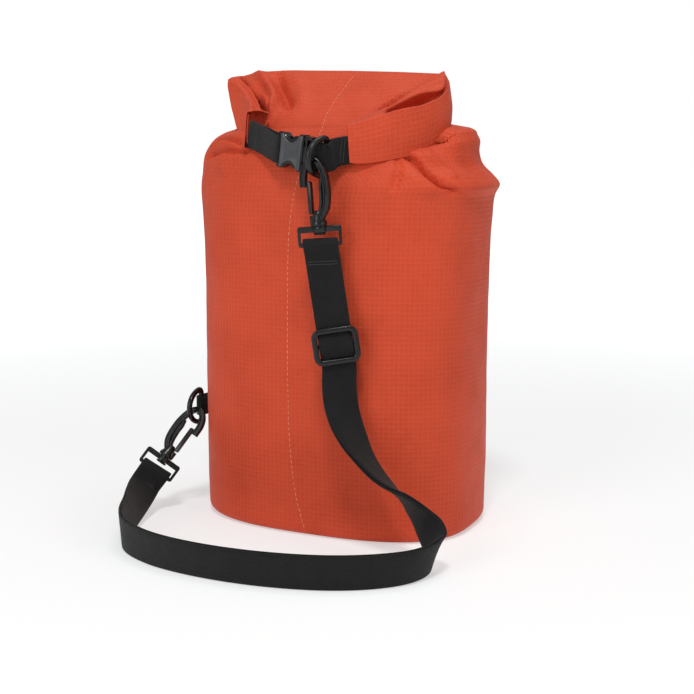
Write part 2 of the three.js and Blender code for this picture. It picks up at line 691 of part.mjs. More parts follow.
const LAYER_STEP = STRAP_THICKNESS + 2 * GAP; // between the middles of two layers
const SEWN_TAIL = 15;
const BAR_ROUND = Math.hypot(1.5, 2) + 2 * GAP + STRAP_THICKNESS / 2; // strap's middle round a bar

// Half a turn of webbing over a bar, from one side of it to the other.
function overBar(bar, top, side, radius) {
  return [...Array(7).keys()].map((i) => {
    const turn = (Math.PI * i) / 6;
    return bar
      .clone()
      .addScaledVector(side, radius * Math.cos(turn))
      .addScaledVector(top, radius * Math.sin(turn));
  });
}

// The strap's upper end: sewn back on itself behind, over the loop's bar and straight down in front.
const courseStart = v3(...COURSE[0][0]);
const hangDown = courseStart.clone().sub(upperBar).normalize();
const hangFront = hangDown.clone().cross(UPPER_STRAP_ACROSS).normalize();
const loopBack = UPPER_HOOK_AXIS.clone().cross(UPPER_STRAP_ACROSS).normalize();
const seam = upperBar.clone().addScaledVector(hangDown, 9);
const upperEnd = [
  upperBar.clone().addScaledVector(hangDown, SEWN_TAIL).addScaledVector(hangFront, -LAYER_STEP),
  seam.clone().addScaledVector(hangFront, -LAYER_STEP),
  ...overBar(upperBar, UPPER_HOOK_AXIS, loopBack, BAR_ROUND),
  seam,
];

// The lower end: up to the loop's bar in front, over it and a little way back behind.
const riseFront = LOWER_HOOK_AXIS.clone().cross(square(LOWER_STRAP_ACROSS, LOWER_HOOK_AXIS)).normalize();
const below = (distance, through) =>
  lowerBar.clone().addScaledVector(LOWER_HOOK_AXIS, -distance).addScaledVector(riseFront, through);
const lowerEnd = [
  below(13, 1.2),
  below(6, 2.2),
  ...overBar(lowerBar, LOWER_HOOK_AXIS, riseFront, BAR_ROUND),
  below(6, -2.4),
  below(12, 1 - LAYER_STEP),
];

const COURSE_STEPS = 66;
const courseCurve = new THREE.CatmullRomCurve3(
  [...COURSE.map(([place]) => v3(...place)), below(20, 1.2)],
  false,
  "catmullrom",
  0.5,
);
const widthCurve = new THREE.CatmullRomCurve3(
  [...COURSE.map(([, wide]) => v3(...wide)), LOWER_STRAP_ACROSS],
  false,
  "catmullrom",
  0.5,
);
const courseAt = [...Array(COURSE_STEPS + 1).keys()].map((i) => i / COURSE_STEPS);
const coursePoints = courseAt.map((t) => courseCurve.getPoint(t));
const courseWidths = courseAt.map((t) => widthCurve.getPoint(t).normalize());

const strapPoints = [...upperEnd, ...coursePoints, ...lowerEnd];
const strapWidths = [
  ...upperEnd.map(() => UPPER_STRAP_ACROSS),
  ...courseWidths,
  ...lowerEnd.map(() => LOWER_STRAP_ACROSS),
];

// The strap's second layer lies behind the first, from the lower loop up to the slider.
function strapReturn() {
  const frames = framesAlong(strapPoints, strapWidths, -LAYER_STEP);
  const course = frames.slice(upperEnd.length, upperEnd.length + coursePoints.length);
  return sweep(rectangle(STRAP_WIDTH, STRAP_THICKNESS), course);
}

add(bag, "shoulder_strap", ribbon(strapPoints, strapWidths, STRAP_WIDTH, STRAP_THICKNESS), WEBBING);
add(bag, "strap_return", strapReturn(), WEBBING);

// ---- The slider ----

// The slider's own frame: X across the strap, Y up it, Z away from the bag. The strap runs
// straight through, behind its two outer bars and in front of its middle bar.
const SLIDER = { width: 34, length: 27, front: 4, window: 20.4, railWidth: 3.6, bar: -5.1 };
const SLIDER_FROM_START = 15; // up the strap from the start of its course
const sliderCentre = courseStart.clone().addScaledVector(hangDown, -SLIDER_FROM_START);
const slider = placed(sliderCentre, UPPER_STRAP_ACROSS, hangDown.clone().negate());

function strapSlider() {
  const frontFace = STRAP_THICKNESS / 2 + 2 * GAP;
  const depth = SLIDER.front - frontFace;
  const face = extrude(roundedRectangle(SLIDER.width, SLIDER.length, 3.5), depth, 0.6);
  face.translate(0, 0, frontFace + depth / 2);
  const windowWidth = SLIDER.width - 2 * SLIDER.railWidth;
  const framed = cut(face, box(windowWidth, SLIDER.window, 20));
  const railDepth = SLIDER.front - 1 - (SLIDER.bar - BAR_HALF_HEIGHT);
  const rails = [-1, 1].map((side) =>
    box(2.8, 14, railDepth, side * (SLIDER.width / 2 - 1.9), 0, SLIDER.front - 1 - railDepth / 2),
  );
  const middle = box(SLIDER.width - 3.8, 2 * BAR_HALF_LENGTH, 2 * BAR_HALF_HEIGHT, 0, 0, SLIDER.bar);
  return join(framed, ...rails, middle);
}

// The return layer's end, sewn round the slider's middle bar.
function returnEnd() {
  const front = -LAYER_STEP;
  const radius = BAR_RADIUS + GAP + STRAP_THICKNESS / 2;
  const bar = v3(0, 0, SLIDER.bar);
  const round = overBar(bar, v3(0, 1, 0), v3(0, 0, 1), radius).map((p) => p.setZ(Math.min(p.z, front)));
  const points = [v3(0, -13, front), v3(0, -5, front), ...round, v3(0, -5, -6.4), v3(0, -12, 2 * front)];
  return ribbon(points, [v3(1, 0, 0)], STRAP_WIDTH, STRAP_THICKNESS);
}

add(slider, "strap_slider", strapSlider(), HARDWARE);
add(slider, "strap_return_end", returnEnd(), WEBBING);

export default bag;
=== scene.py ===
from math import cos, pi, radians, sin

import bmesh
import bpy
import numpy as np
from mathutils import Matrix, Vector


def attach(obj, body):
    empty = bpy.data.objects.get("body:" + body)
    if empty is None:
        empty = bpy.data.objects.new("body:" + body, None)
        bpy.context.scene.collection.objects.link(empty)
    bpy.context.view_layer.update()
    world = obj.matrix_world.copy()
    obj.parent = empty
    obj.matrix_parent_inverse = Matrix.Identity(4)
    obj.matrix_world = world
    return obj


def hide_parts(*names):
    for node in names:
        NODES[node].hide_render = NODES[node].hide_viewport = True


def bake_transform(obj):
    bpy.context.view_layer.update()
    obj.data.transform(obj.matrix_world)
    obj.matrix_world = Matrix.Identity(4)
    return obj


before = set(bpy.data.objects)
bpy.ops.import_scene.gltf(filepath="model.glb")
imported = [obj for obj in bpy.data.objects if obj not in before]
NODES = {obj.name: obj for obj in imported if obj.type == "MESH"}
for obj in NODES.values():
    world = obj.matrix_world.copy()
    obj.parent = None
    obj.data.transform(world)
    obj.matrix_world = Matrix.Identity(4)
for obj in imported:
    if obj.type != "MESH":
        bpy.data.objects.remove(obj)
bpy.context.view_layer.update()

MM = 0.001  # shapes are worked out in millimetres, and new_object turns them into metres
UP = np.array([0.0, 0.0, 1.0])


# ---- small vector helpers
def vec(*values):
    return np.array(values, float)


def unit(v):
    v = np.asarray(v, float)
    return v / np.linalg.norm(v)


def square_to(direction, axis):
    """direction made square to axis."""
    direction, axis = np.asarray(direction, float), unit(axis)
    return unit(direction - axis * (direction @ axis))


def mix(a, b, part):
    return a + (b - a) * part


# The knots each step of a Catmull-Rom curve mixes between, from four points down to one.
CURVE_STEPS = (((0, 1), (1, 2), (2, 3)), ((0, 2), (1, 3)), ((1, 2),))


def smooth_curve(points, count):
    """count points along a centripetal Catmull-Rom curve through points."""
    points = np.asarray(points, float)
    ends = np.vstack([2 * points[0] - points[1], points, 2 * points[-1] - points[-2]])
    spans = np.sqrt(np.linalg.norm(np.diff(ends[:, :3], axis=0), axis=1)) + 1e-9
    knots = np.concatenate([[0], np.cumsum(spans)])
    out = []
    for t in np.linspace(knots[1], knots[-2], count):
        i = int(np.clip(np.searchsorted(knots, t, side="right") - 1, 1, len(points) - 1))
        near, mixed = knots[i - 1 : i + 3], ends[i - 1 : i + 3]
        for step in CURVE_STEPS:
            parts = [(t - near[a]) / (near[b] - near[a]) for a, b in step]
            mixed = [mix(mixed[k], mixed[k + 1], part) for k, part in enumerate(parts)]
        out.append(mixed[0])
    return np.array(out)


def ripple(points, seed, scale):
    """A smooth wandering value between about -1 and 1 at each point, from a few sine waves."""
    waves = np.random.default_rng(seed)
    total = np.zeros(len(points))
    for _ in range(7):
        direction = unit(waves.normal(size=3)) * waves.uniform(0.6, 1.5) * 2 * pi / scale
        total += np.sin(points @ direction + waves.uniform(0, 2 * pi))
    return total / 4


def rounded(turns, power):
    """Points of a unit shape at some turns: a circle at power 2, and squarer above it."""
    bend = lambda value: np.sign(value) * np.abs(value) ** (2 / power)
    return bend(np.cos(turns)), bend(np.sin(turns))


# ---- meshes
def new_object(name, vertices, faces, uvs=None):
    """A mesh object from millimetre vertices. uvs holds one pair for each corner of each face."""
    mesh = bpy.data.meshes.new(name)
    mesh.from_pydata((np.asarray(vertices) * MM).tolist(), [], faces)
    if uvs is not None:
        layer = mesh.uv_layers.new(name="UVMap")
        layer.data.foreach_set("uv", (np.asarray(uvs, float) * MM).ravel())
    mesh.polygons.foreach_set("use_smooth", [True] * len(mesh.polygons))
    mesh.update()
    made = bpy.data.objects.new(name, mesh)
    bpy.context.scene.collection.objects.link(made)
    return made


def lofted(name, rings, around_uv, along_uv, caps=(True, True)):
    """A skin through closed rings. around_uv has one more value than a ring has points."""
    rings = np.asarray(rings, float)
    levels, count = rings.shape[:2]
    faces, uvs = [], []
    for r in range(levels - 1):
        for i in range(count):
            j = (i + 1) % count
            faces.append((r * count + i, r * count + j, (r + 1) * count + j, (r + 1) * count + i))
            left, right = around_uv[i], around_uv[i + 1]
            low, high = along_uv[r], along_uv[r + 1]
            uvs += [(left, low), (right, low), (right, high), (left, high)]
    for wanted, level, step in ((caps[0], 0, -1), (caps[1], levels - 1, 1)):
        if wanted:
            loop = [level * count + i for i in range(count)][::step]
            faces.append(tuple(loop))
            uvs += [tuple(rings[level, i % count][:2]) for i in loop]
    return face_outward(new_object(name, rings.reshape(-1, 3), faces, uvs))


def face_outward(made, weld=0.0):
    """Turns every face out of the closed piece, after joining points closer than weld."""
    work = bmesh.new()
    work.from_mesh(made.data)
    if weld:
        bmesh.ops.remove_doubles(work, verts=work.verts, dist=weld * MM)
    bmesh.ops.recalc_face_normals(work, faces=work.faces)
    work.to_mesh(made.data)
    work.free()
    return made


def frames_along(points, widths):
    """The line's direction at each point, the width made square to it, and their normal."""
    points, widths = np.asarray(points, float), np.asarray(widths, float)
    along = np.gradient(points, axis=0)
    along /= np.linalg.norm(along, axis=1)[:, None]
    across = widths - along * np.sum(widths * along, axis=1)[:, None]
    across /= np.linalg.norm(across, axis=1)[:, None]
    return along, across, np.cross(along, across)


def lengths_of(points):
    """How far along a line each of its points is."""
    return np.concatenate([[0], np.cumsum(np.linalg.norm(np.diff(points, axis=0), axis=1))])


def lengths_round(ring):
    """How far round a closed ring each of its points is, and then its whole length."""
    return lengths_of(np.vstack([ring, ring[:1]]))


def turns_round(count):
    """count equal turns, from 0 to just short of a whole one."""
    return np.linspace(0, 2 * pi, count, endpoint=False)


def lengths_up(rings):
    """How far along a skin each of its rings is, on average."""
    steps = np.linalg.norm(np.diff(rings, axis=0), axis=2).mean(axis=1)
    return np.concatenate([[0], np.cumsum(steps)])


def rings_along(points, across, through, outline):
    """An outline at each of the points, with its x across and its y through."""
    outline = np.asarray(outline, float)[None, :, :, None]
    return points[:, None] + across[:, None] * outline[:, :, 0] + through[:, None] * outline[:, :, 1]


def swept(name, points, widths, outline, around_uv=None):
    """A closed outline carried along points, with x along the width and y along the normal."""
    points = np.asarray(points, float)
    _, across, through = frames_along(points, widths)
    rings = rings_along(points, across, through, outline)
    if around_uv is None:
        around_uv = lengths_round(outline)
    return lofted(name, rings, around_uv, lengths_of(points))


def webbing_outline(width, thickness):
    """A webbing's section, flat with rounded selvedges, and its UV, which runs across both faces."""
    half, t = width / 2, thickness / 2
    flat, bend, drop = half - 0.7, half - 0.2, 0.62 * t
    columns = np.linspace(-flat, flat, 9)
    outline = [(x, t) for x in columns] + [(bend, drop), (half, 0), (bend, -drop)]
    outline += [(x, -t) for x in columns[::-1]] + [(-bend, -drop), (-half, 0), (-bend, drop)]
    return outline, [x for x, _ in outline] + [outline[0][0]]


def webbing(name, points, widths, width, thickness, steps=None):
    """Webbing along points, with its width direction at each. steps smooths the line."""
    widths = np.broadcast_to(np.asarray(widths, float), (len(points), 3))
    if steps:
        both = smooth_curve(np.hstack([points, widths]), steps)
        points, widths = both[:, :3], both[:, 3:]
    outline, around = webbing_outline(width, thickness)
    return swept(name, points, widths, outline, around)


def modified(made, kind, **settings):
    """Adds a modifier with its settings."""
    modifier = made.modifiers.new(kind.title(), kind)
    for key, value in settings.items():
        setattr(modifier, key, value)
    return modifier


def joined(name, pieces):
    """The pieces as one object."""
    with bpy.context.temp_override(
        active_object=pieces[0], selected_editable_objects=pieces, selected_objects=pieces
    ):
        bpy.ops.object.join()
    pieces[0].name = name
    pieces[0].data.name = name
    return pieces[0]


# ---- materials
class Shader:
    """A material's or a world's nodes, with short ways to add more."""

    def __init__(self, owner, surface="Principled BSDF"):
        self.owner = owner
        owner.use_nodes = True
        self.tree = owner.node_tree
        self.surface = self.tree.nodes[surface]

    def put(self, socket, value):
        """Sets a socket to a value, or links another node's output to it."""
        if isinstance(value, bpy.types.NodeSocket):
            self.tree.links.new(value, socket)
        else:
            socket.default_value = value

    def add(self, kind, inputs=(), **settings):
        """A new node with its inputs and settings."""
        made = self.tree.nodes.new("ShaderNode" + kind)
        for key, value in settings.items():
            setattr(made, key, value)
        for key, value in dict(inputs).items():
            self.put(made.inputs[key], value)
        return made

    def math(self, operation, *values):
        inputs = dict(enumerate(values))
        return self.add("Math", inputs, operation=operation).outputs[0]

    def ramp(self, value, low, high, to_low=0.0, to_high=1.0):
        """A smooth step from to_low to to_high as the value goes from low to high."""
        inputs = {"Value": value, "From Min": low, "From Max": high}
        inputs.update({"To Min": to_low, "To Max": to_high})
        return self.add("MapRange", inputs, interpolation_type="SMOOTHSTEP").outputs[0]

    def noise(self, scale, detail=3.0, roughness=0.5):
        coordinates = self.add("TexCoord").outputs["Object"]
        inputs = {"Scale": scale, "Detail": detail, "Roughness": roughness}
        inputs["Vector"] = coordinates
        return self.add("TexNoise", inputs).outputs["Fac"]

    def uv(self):
        coordinates = self.add("TexCoord").outputs["UV"]
        parts = self.add("SeparateXYZ", {"Vector": coordinates})
        return parts.outputs["X"], parts.outputs["Y"]

    def blend(self, part, a, b):
        inputs = {"Factor": part, "A": a, "B": b}
        return self.add("Mix", inputs, data_type="RGBA").outputs["Result"]

    def bump(self, height, distance, strength=1.0, normal=None):
        inputs = {"Height": height, "Distance": distance, "Strength": strength}
        if normal is not None:
            inputs["Normal"] = normal
        return self.add("Bump", inputs).outputs["Normal"]

    def finish(self, **inputs):
        for key, value in inputs.items():
            self.put(self.surface.inputs[key.replace("_", " ")], value)
        return self.owner


def shader(name):
    """A new material's shader."""
    return Shader(bpy.data.materials.new(name))


def linear(red, green, blue, times=1.0):
    """A colour given as screen values, made linear."""
    return tuple(((c / 255) ** 2.2) * times for c in (red, green, blue)) + (1.0,)


# Sizes of the weaves, in metres.
RIPSTOP_PITCH = 0.00365
RIPSTOP_THREAD = 0.00046
WEBBING_CORD = 0.00115
WEBBING_ROW = 0.00125


def ripstop(name, colour, shade, light):
    """Coated ripstop: a square grid of thicker, paler threads over a fine weave."""
    s = shader(name)
    u, v = s.uv()
    lines = []
    for value in (u, v):
        distance = s.math("PINGPONG", value, RIPSTOP_PITCH / 2)
        lines.append(s.ramp(distance, 0.00022, 0.00085, 1.0, 0.0))
    grid = s.math("MAXIMUM", *lines)
    threads = []
    for value in (u, v):
        threads.append(s.math("SINE", s.math("MULTIPLY", value, 2 * pi / RIPSTOP_THREAD)))
    weave = s.math("MULTIPLY", threads[0], threads[1])
    patches = s.noise(26.0, 4.0, 0.6)
    soft = s.noise(7.0, 2.0)
    base = s.blend(s.ramp(soft, 0.3, 0.75), linear(*colour), linear(*colour, 0.9))
    base = s.blend(s.math("MULTIPLY", s.ramp(patches, 0.35, 0.8), 0.25), base, linear(*shade))
    base = s.blend(s.math("MULTIPLY", grid, 0.17), base, linear(*light))
    fine = s.bump(weave, 0.00004, 0.5)
    ridge = s.bump(grid, 0.00022, 0.8, fine)
    normal = s.bump(patches, 0.0012, 0.35, ridge)
    rough = s.math("ADD", s.ramp(patches, 0.2, 0.8, 0.44, 0.56), s.math("MULTIPLY", grid, 0.06))
    return s.finish(
        Base_Color=base,
        Roughness=rough,
        Normal=normal,
        Sheen_Weight=0.02,
        Specular_IOR_Level=0.16,
    )


def woven(name, colour, light):
    """Webbing: rows of ribs, offset in every other column, with painted highlight on the raised ribs
    and pale worn patches.
    """
    s = shader(name)
    u, v = s.uv()
    column = s.math("GREATER_THAN", s.math("PINGPONG", u, WEBBING_CORD), WEBBING_CORD / 2)
    phase = s.math("MULTIPLY", column, pi)
    turns = s.math("MULTIPLY", v, 2 * pi / WEBBING_ROW)
    rows = s.math("SINE", s.math("ADD", turns, phase))
    cords = s.math("SINE", s.math("MULTIPLY", u, 2 * pi / WEBBING_CORD))
    height = s.math("ADD", s.math("MULTIPLY", rows, 0.65), s.math("MULTIPLY", cords, 0.35))
    wear = s.noise(60.0, 5.0, 0.65)
    # Paler on the raised ribs as painted highlight, with painted shade in the grooves between them,
    # and paler in worn patches too.
    part = s.math("ADD", s.ramp(height, -0.2, 1.1, 0.0, 0.5), s.ramp(wear, 0.4, 0.9, 0.0, 0.3))
    normal = s.bump(wear, 0.0004, 0.35, s.bump(height, 0.00022, 0.85))
    return s.finish(
        Base_Color=s.blend(part, linear(*colour), linear(*light)),
        Roughness=s.ramp(wear, 0.3, 0.8, 0.68, 0.86),
        Normal=normal,
        Sheen_Weight=0.08,
        Specular_IOR_Level=0.25,
    )


def moulded(name, colour, roughness):
    """Moulded plastic: a fine grain, with slight changes of gloss."""
    s = shader(name)
    grain, broad = s.noise(900.0, 2.0), s.noise(70.0, 4.0, 0.6)
    base = s.blend(s.ramp(broad, 0.35, 0.75), linear(*colour), linear(*colour, 0.78))
    return s.finish(
        Base_Color=base,
        Roughness=s.ramp(broad, 0.3, 0.75, roughness - 0.05, roughness + 0.09),
        Normal=s.bump(grain, 0.00006, 0.5, s.bump(broad, 0.0003, 0.2)),
        Specular_IOR_Level=0.42,
    )


def thread(name, colour):
    """Sewing thread: a matt, uneven fibre."""
    s = shader(name)
    fibre = s.noise(1500.0, 3.0, 0.7)
    return s.finish(
        Base_Color=s.blend(fibre, linear(*colour), linear(*colour, 0.7)),
        Roughness=0.75,
        Normal=s.bump(fibre, 0.0001, 0.6),
        Sheen_Weight=0.2,
    )


SHELL = ripstop("shell_fabric", (206, 76, 48), (150, 46, 26), (226, 98, 70))
BASE = ripstop("base_fabric", (200, 73, 45), (142, 43, 24), (218, 92, 65))
# The webbing's paler colour is painted highlight on its raised ribs, and the colour of its worn
# patches.
STRAP = woven("webbing", (13, 13, 14), (35, 35, 36))
PLASTIC = moulded("hardware_plastic", (17, 18, 20), 0.26)
GREY_PLASTIC = moulded("buckle_plastic", (72, 73, 76), 0.36)
PALE_THREAD = thread("seam_thread", (238, 158, 130))
ORANGE_THREAD = thread("fabric_thread", (205, 84, 56))
BLACK_THREAD = thread("webbing_thread", (44, 44, 46))


def dress(made, material, slot, body=None, *nodes):
    """Gives a piece its material, the body it rides on and the CAD nodes it stands for. Its slot is
    not used.
    """
    made.data.materials.clear()
    made.data.materials.append(material)
    if body:
        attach(made, body)
    if nodes:
        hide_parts(*nodes)
    return made


# ---- the fabric body
# z, left, right, front, back and squareness of the wall, from the base's edge to the top edge.
LEVELS = [
    [8, -110.8, 110.8, -75.7, 75.7, 2.75],
    [60, -111.6, 111.6, -76.6, 76.6, 2.7],
    [130, -111.2, 111.4, -76.4, 76.2, 2.7],
    [200, -111, 112.2, -76.6, 76.2, 2.7],
    [240, -111.8, 114, -77.2, 76.6, 2.7],
    [256, -113, 116, -77.6, 77, 2.65],
    [264, -113.6, 120, -77.4, 76.6, 2.6],
    [271, -113.8, 115, -76.2, 75, 2.5],
    [279, -113.4, 107.6, -74, 71.5, 2.45],
    [288, -111.6, 106, -70, 65, 2.4],
    [296, -106, 107.5, -63.5, 57, 2.4],
    [301, -97, 106.2, -58, 49, 2.4],
    [304.5, -88, 104.6, -53, 43, 2.4],
    [306.5, -85.5, 99.5, -50.5, 39, 2.4],
    [308.5, -84.5, 82, -48, 34, 2.4],
    [315, -84, 75, -40, 27, 2.5],
    [325, -88, 73.5, -28, 22, 2.6],
    [335, -95, 74, -14.5, 19.5, 2.6],
    [343, -100, 76.5, -3, 18, 2.4],
    [347, -101.5, 77, 4, 15, 2.2],
    [349, -101, 76, 7.5, 12, 2],
]
SMOOTH_LEVELS = smooth_curve(LEVELS, 240).T
AROUND = 420
BASE_EDGE = LEVELS[0][0]  # radius of the base's rounded edge
TOP = LEVELS[-1][0]


def level_at(z):
    """The wall's level at a height."""
    return np.array([z] + [np.interp(z, SMOOTH_LEVELS[0], column) for column in SMOOTH_LEVELS[1:]])


def wall_point(level, turn, inset=0.0):
    """The wall at a turn, which runs from +X by the back, +Y, round to the front."""
    z, left, right, front, back, power = level
    x, y = rounded(turn, power)
    x = (left + right) / 2 + ((right - left) / 2 - inset) * x
    y = (front + back) / 2 + ((back - front) / 2 - inset) * y
    return np.stack([x, y, np.full_like(x, z)], axis=-1)


# Creases: the line each follows, how far it reaches to each side, and how deep it is. A ridge's
# depth is negative.
CREASES = [
    ([(50, -58, 304), (72, -50, 303), (90, -38, 303), (99, -22, 304)], 13, 13),
    ([(72, -58, 289), (79, -55, 284), (90, -54, 273), (101, -51, 265), (110, -42, 260)], 2.8, 8.4),
    ([(84, -49, 292), (97, -45, 280), (108, -40, 270)], 4, -4.6),
    ([(66, -64, 282), (80, -62, 272), (98, -58, 258)], 5, -2.2),
    ([(69, -58, 288), (71, -64, 276), (70, -72, 260)], 3.2, 2.8),
    ([(72, -48, 300), (92, -36, 291), (112, -16, 274)], 5, 2),
    ([(94, -32, 298), (100, -14, 302), (100, 6, 302)], 2.4, 3.6),
    ([(116, 26, 262), (110, 0, 262), (104, -28, 262)], 3.4, 2),
    ([(-57, -59, 294), (-66, -54, 296), (-80, -45, 298), (-94, -36, 297), (-100, -36, 291)], 2.6, 5.6),
    ([(-62, -58, 292), (-76, -51, 294), (-88, -45, 293), (-97, -40, 289)], 3, -2.8),
    ([(-49, -66, 288), (-59, -63, 289), (-73, -58, 290), (-86, -52, 287), (-98, -44, 283)], 2.6, 5.6),
    ([(-54, -66, 287), (-63, -65, 282), (-74, -65, 271)], 3.6, -3.4),
    ([(-60, -66, 277), (-74, -64, 270), (-92, -60, 262)], 6, 1.4),
    ([(-82, 8, 348), (-67, -4, 341), (-49, -22, 328), (-46, -36, 316)], 3.6, -6.2),
    ([(-97, 5, 345), (-83, -10, 333), (-65, -24, 324), (-51, -37, 315)], 4.6, 8),
    ([(-62, 3, 346), (-44, -18, 331), (-32, -32, 321)], 4, 8),
    ([(-46, 3, 346), (-30, -16, 334), (-22, -30, 323)], 5, -2.4),
    ([(-75, -2, 342), (-66, -11, 336), (-58, -20, 330)], 1.9, 2.2),
    ([(-66, -14, 334), (-58, -22, 328), (-53, -30, 321)], 1.9, -1.8),
    ([(-40, -52, 305), (-34, -60, 294), (-30, -68, 280)], 5, 1.8),
    ([(60, -48, 306), (40, -56, 299), (20, -60, 295)], 5, 2.2),
    ([(40, -34, 318), (60, -16, 333), (75, 2, 347)], 2.8, 6),
    ([(58, -50, 307), (68, -36, 317), (76, -20, 329)], 8, 20),
    ([(-20, 20, 320), (-14, 48, 300), (-10, 66, 284)], 6, 2.4),
    ([(30, 22, 318), (36, 46, 300), (40, 66, 280)], 6, 2.8),
    ([(-66, 24, 316), (-78, 46, 298), (-88, 60, 276)], 6, 3.4),
    ([(70, 28, 306), (80, 48, 290), (88, 60, 268)], 6, 3.2),
    ([(-84, 0, 308), (-100, 20, 296), (-106, 34, 276)], 4, 3.4),
]


def crease_depth(points, line, reach, depth):
    """How far each point is pushed in by one crease, fading out at the crease's ends."""
    line = smooth_curve(line, 24)
    gaps = np.linalg.norm(points[:, None] - line[None], axis=2)
    nearest = gaps.argmin(axis=1)
    part = nearest / (len(line) - 1)
    fade = np.clip(np.minimum(part, 1 - part) * 5 + 0.25, 0, 1)
    return depth * fade * np.exp(-((gaps.min(axis=1) / reach) ** 2))


# Random dents: depth, seed and length of the slow ones, the small ones and the loose fabric's.
SLOW_DENTS, SMALL_DENTS, LOOSE_DENTS = (0.75, 3, 90), (0.22, 4, 30), (0.75, 5, 26)
# The top edge's rise and fall from its left end to its right end.
TOP_EDGE = [(-104, -80, -59, 0, 40, 80), (-3.2, 0.8, 1.8, 0.4, -1.2, -3.4)]


def shell_rings():
    """The smooth wall as rings: the base's rounded edge, then closer ones where it creases."""
    turns = turns_round(AROUND)
    rings = []
    for turn in np.arange(9) / 9 * pi / 2:
        level = np.array([BASE_EDGE * (1 - cos(turn)), *LEVELS[0][1:]])
        rings.append(wall_point(level, turns, BASE_EDGE * (1 - sin(turn))))
    stretches = ((BASE_EDGE, 15, 9), (18, 236, 60), (239, TOP, 96))
    heights = np.concatenate([np.linspace(*stretch) for stretch in stretches])
    rings += [wall_point(level_at(z), turns) for z in heights]
    return np.array(rings)


def shell_normals(rings):
    """The normal at each point of a skin's rings."""
    across = np.roll(rings, -1, axis=1) - np.roll(rings, 1, axis=1)
    along = np.gradient(rings, axis=0)
    normals = np.cross(across, along)
    return normals / (np.linalg.norm(normals, axis=2)[..., None] + 1e-9)


def dents(points, depth, seed, length):
    """How far each point is pushed in by one kind of dent."""
    return depth * ripple(points, seed, length)


def fabric_body():
    """The tube and base as one skin, with creases, slow dents and looser fabric near the mouth."""
    rings = shell_rings()
    normals = shell_normals(rings)
    points = rings.reshape(-1, 3)
    push = sum(crease_depth(points, *crease) for crease in CREASES)
    height = points[:, 2]
    # The dents fade out at the base and at the top edge. The fabric is loose near the mouth.
    body = np.clip(height / 30, 0, 1) * np.clip((346 - height) / 12, 0, 1)
    loose = np.clip((height - 225) / 50, 0, 1)
    tall = points * np.array([1.0, 1.0, 0.28])
    push += body * (dents(tall, *SLOW_DENTS) + dents(points, *SMALL_DENTS))
    push += body * loose * dents(points, *LOOSE_DENTS)
    top = np.clip((height - 338) / 10, 0, 1)
    points = points - normals.reshape(-1, 3) * push[:, None]
    points[:, 2] += top * np.interp(points[:, 0], *TOP_EDGE)
    rings = points.reshape(rings.shape)
    return lofted("fabric_body", rings, lengths_round(rings[40]), lengths_up(rings))


body_piece = fabric_body()
BODY_NODES = ("bag_body", "base_panel", "base_seam_tape", "upright_seam_tape")
dress(body_piece, SHELL, "shell_fabric", "bag", *BODY_NODES)


# ---- the rolled mouth
# Sections of a roll, each as its corners: inner top, outer top, outer bottom and inner bottom.
RIGHT_SECTIONS = [
    [(34, -68, 309), (37.5, -78, 308.5), (39, -77, 281), (35, -68, 283)],
    [(39, -60, 313), (44.5, -75, 309.5), (45.5, -74.5, 280.5), (41, -64, 282)],
    [(50, -42, 320), (60, -65, 315), (60, -66, 282), (52, -53, 285)],
    [(54, -36, 323), (66, -60, 317.5), (65.5, -61, 283), (57, -48, 286)],
    [(66, -12, 337), (81, -40, 322), (81.5, -40, 288), (70, -28, 292)],
    [(76, 1, 346), (87.5, -20, 329), (88, -20, 296), (77, -10, 299)],
    [(78, 6, 348), (86.5, -5, 336), (88, -6, 302), (76, 2, 305)],
    [(74, 12, 347), (79, 14, 341), (80, 13, 308), (72, 11, 309)],
    [(60, 23, 344), (63, 32, 342), (63, 32, 313), (60, 23.5, 312)],
]
LEFT_SECTIONS = [
    [(-37, -54, 317), (-51, -64.5, 318.5), (-50.5, -70, 290), (-43, -62, 290.5)],
    [(-52, -38, 319), (-59, -44, 322.5), (-63, -53, 292.5), (-52, -42, 296)],
    [(-64, -22, 326), (-71, -27, 330), (-80, -31, 307.5), (-66, -21, 309)],
    [(-81, -4, 337), (-88, -9, 339), (-95, -12.5, 323), (-84, -4, 322)],
    [(-97, 9, 347), (-104.5, 3, 345.5), (-105, 2.5, 343), (-98, 8, 337)],
    [(-92, 15, 347), (-97, 16, 346.5), (-98, 17, 332), (-90, 15, 328)],
    [(-86, 23, 344), (-87, 32, 342), (-87, 32, 313), (-86, 23.5, 312)],
]
# How far each face of a section bows out: its top, outside, bottom and inside. A deep negative
# one is a pocket, and SLOT_EDGES says how far across the face each pocket's upper edge is.
RIGHT_BOWS = [(0.5, 1, 0.5, 0), (0, 1.5, 1, 0), (0.5, 2, 1, 0), (-16, 2, 1, 0), (-16, 2, 1, 0)]
RIGHT_BOWS += [(-6, 2, 1, 0), (0, 2, 1, 0), (0, 2, 1, 0), (0, 1.5, 1, 0)]
SLOT_EDGES = [0.5, 0.5, 0.3, 0.2, 0.34, 0.74, 0.9, 0.5, 0.5]
LEFT_BOWS = [(1.5, 0.5, 0.5, 0), (-2, -0.8, 0.5, 0), (-3, -1.5, 0.5, 0), (-2, -0.5, 0, 0)]
LEFT_BOWS += [(0, 0.5, 0, 0), (0, 1, 0, 0), (0, 1.5, 1, 0)]

# A pocket's section, as places along its face and shares of its depth. Before 0 is the face up to
# the pocket's upper edge, and 1 is its lip.
POCKET_ALONG = (-1, -0.4, 0, 0.03, -0.1, -0.15, 0.2, 0.7, 0.9, 0.96, 1)
POCKET_DEPTH = (0, 0, 0, 0.1, 0.4, 0.8, 1, 1, 0.6, 0.2, 0)
POCKET_BOW = -4  # a face sunk deeper than this is a pocket
FOLD_RADIUS = 1.5


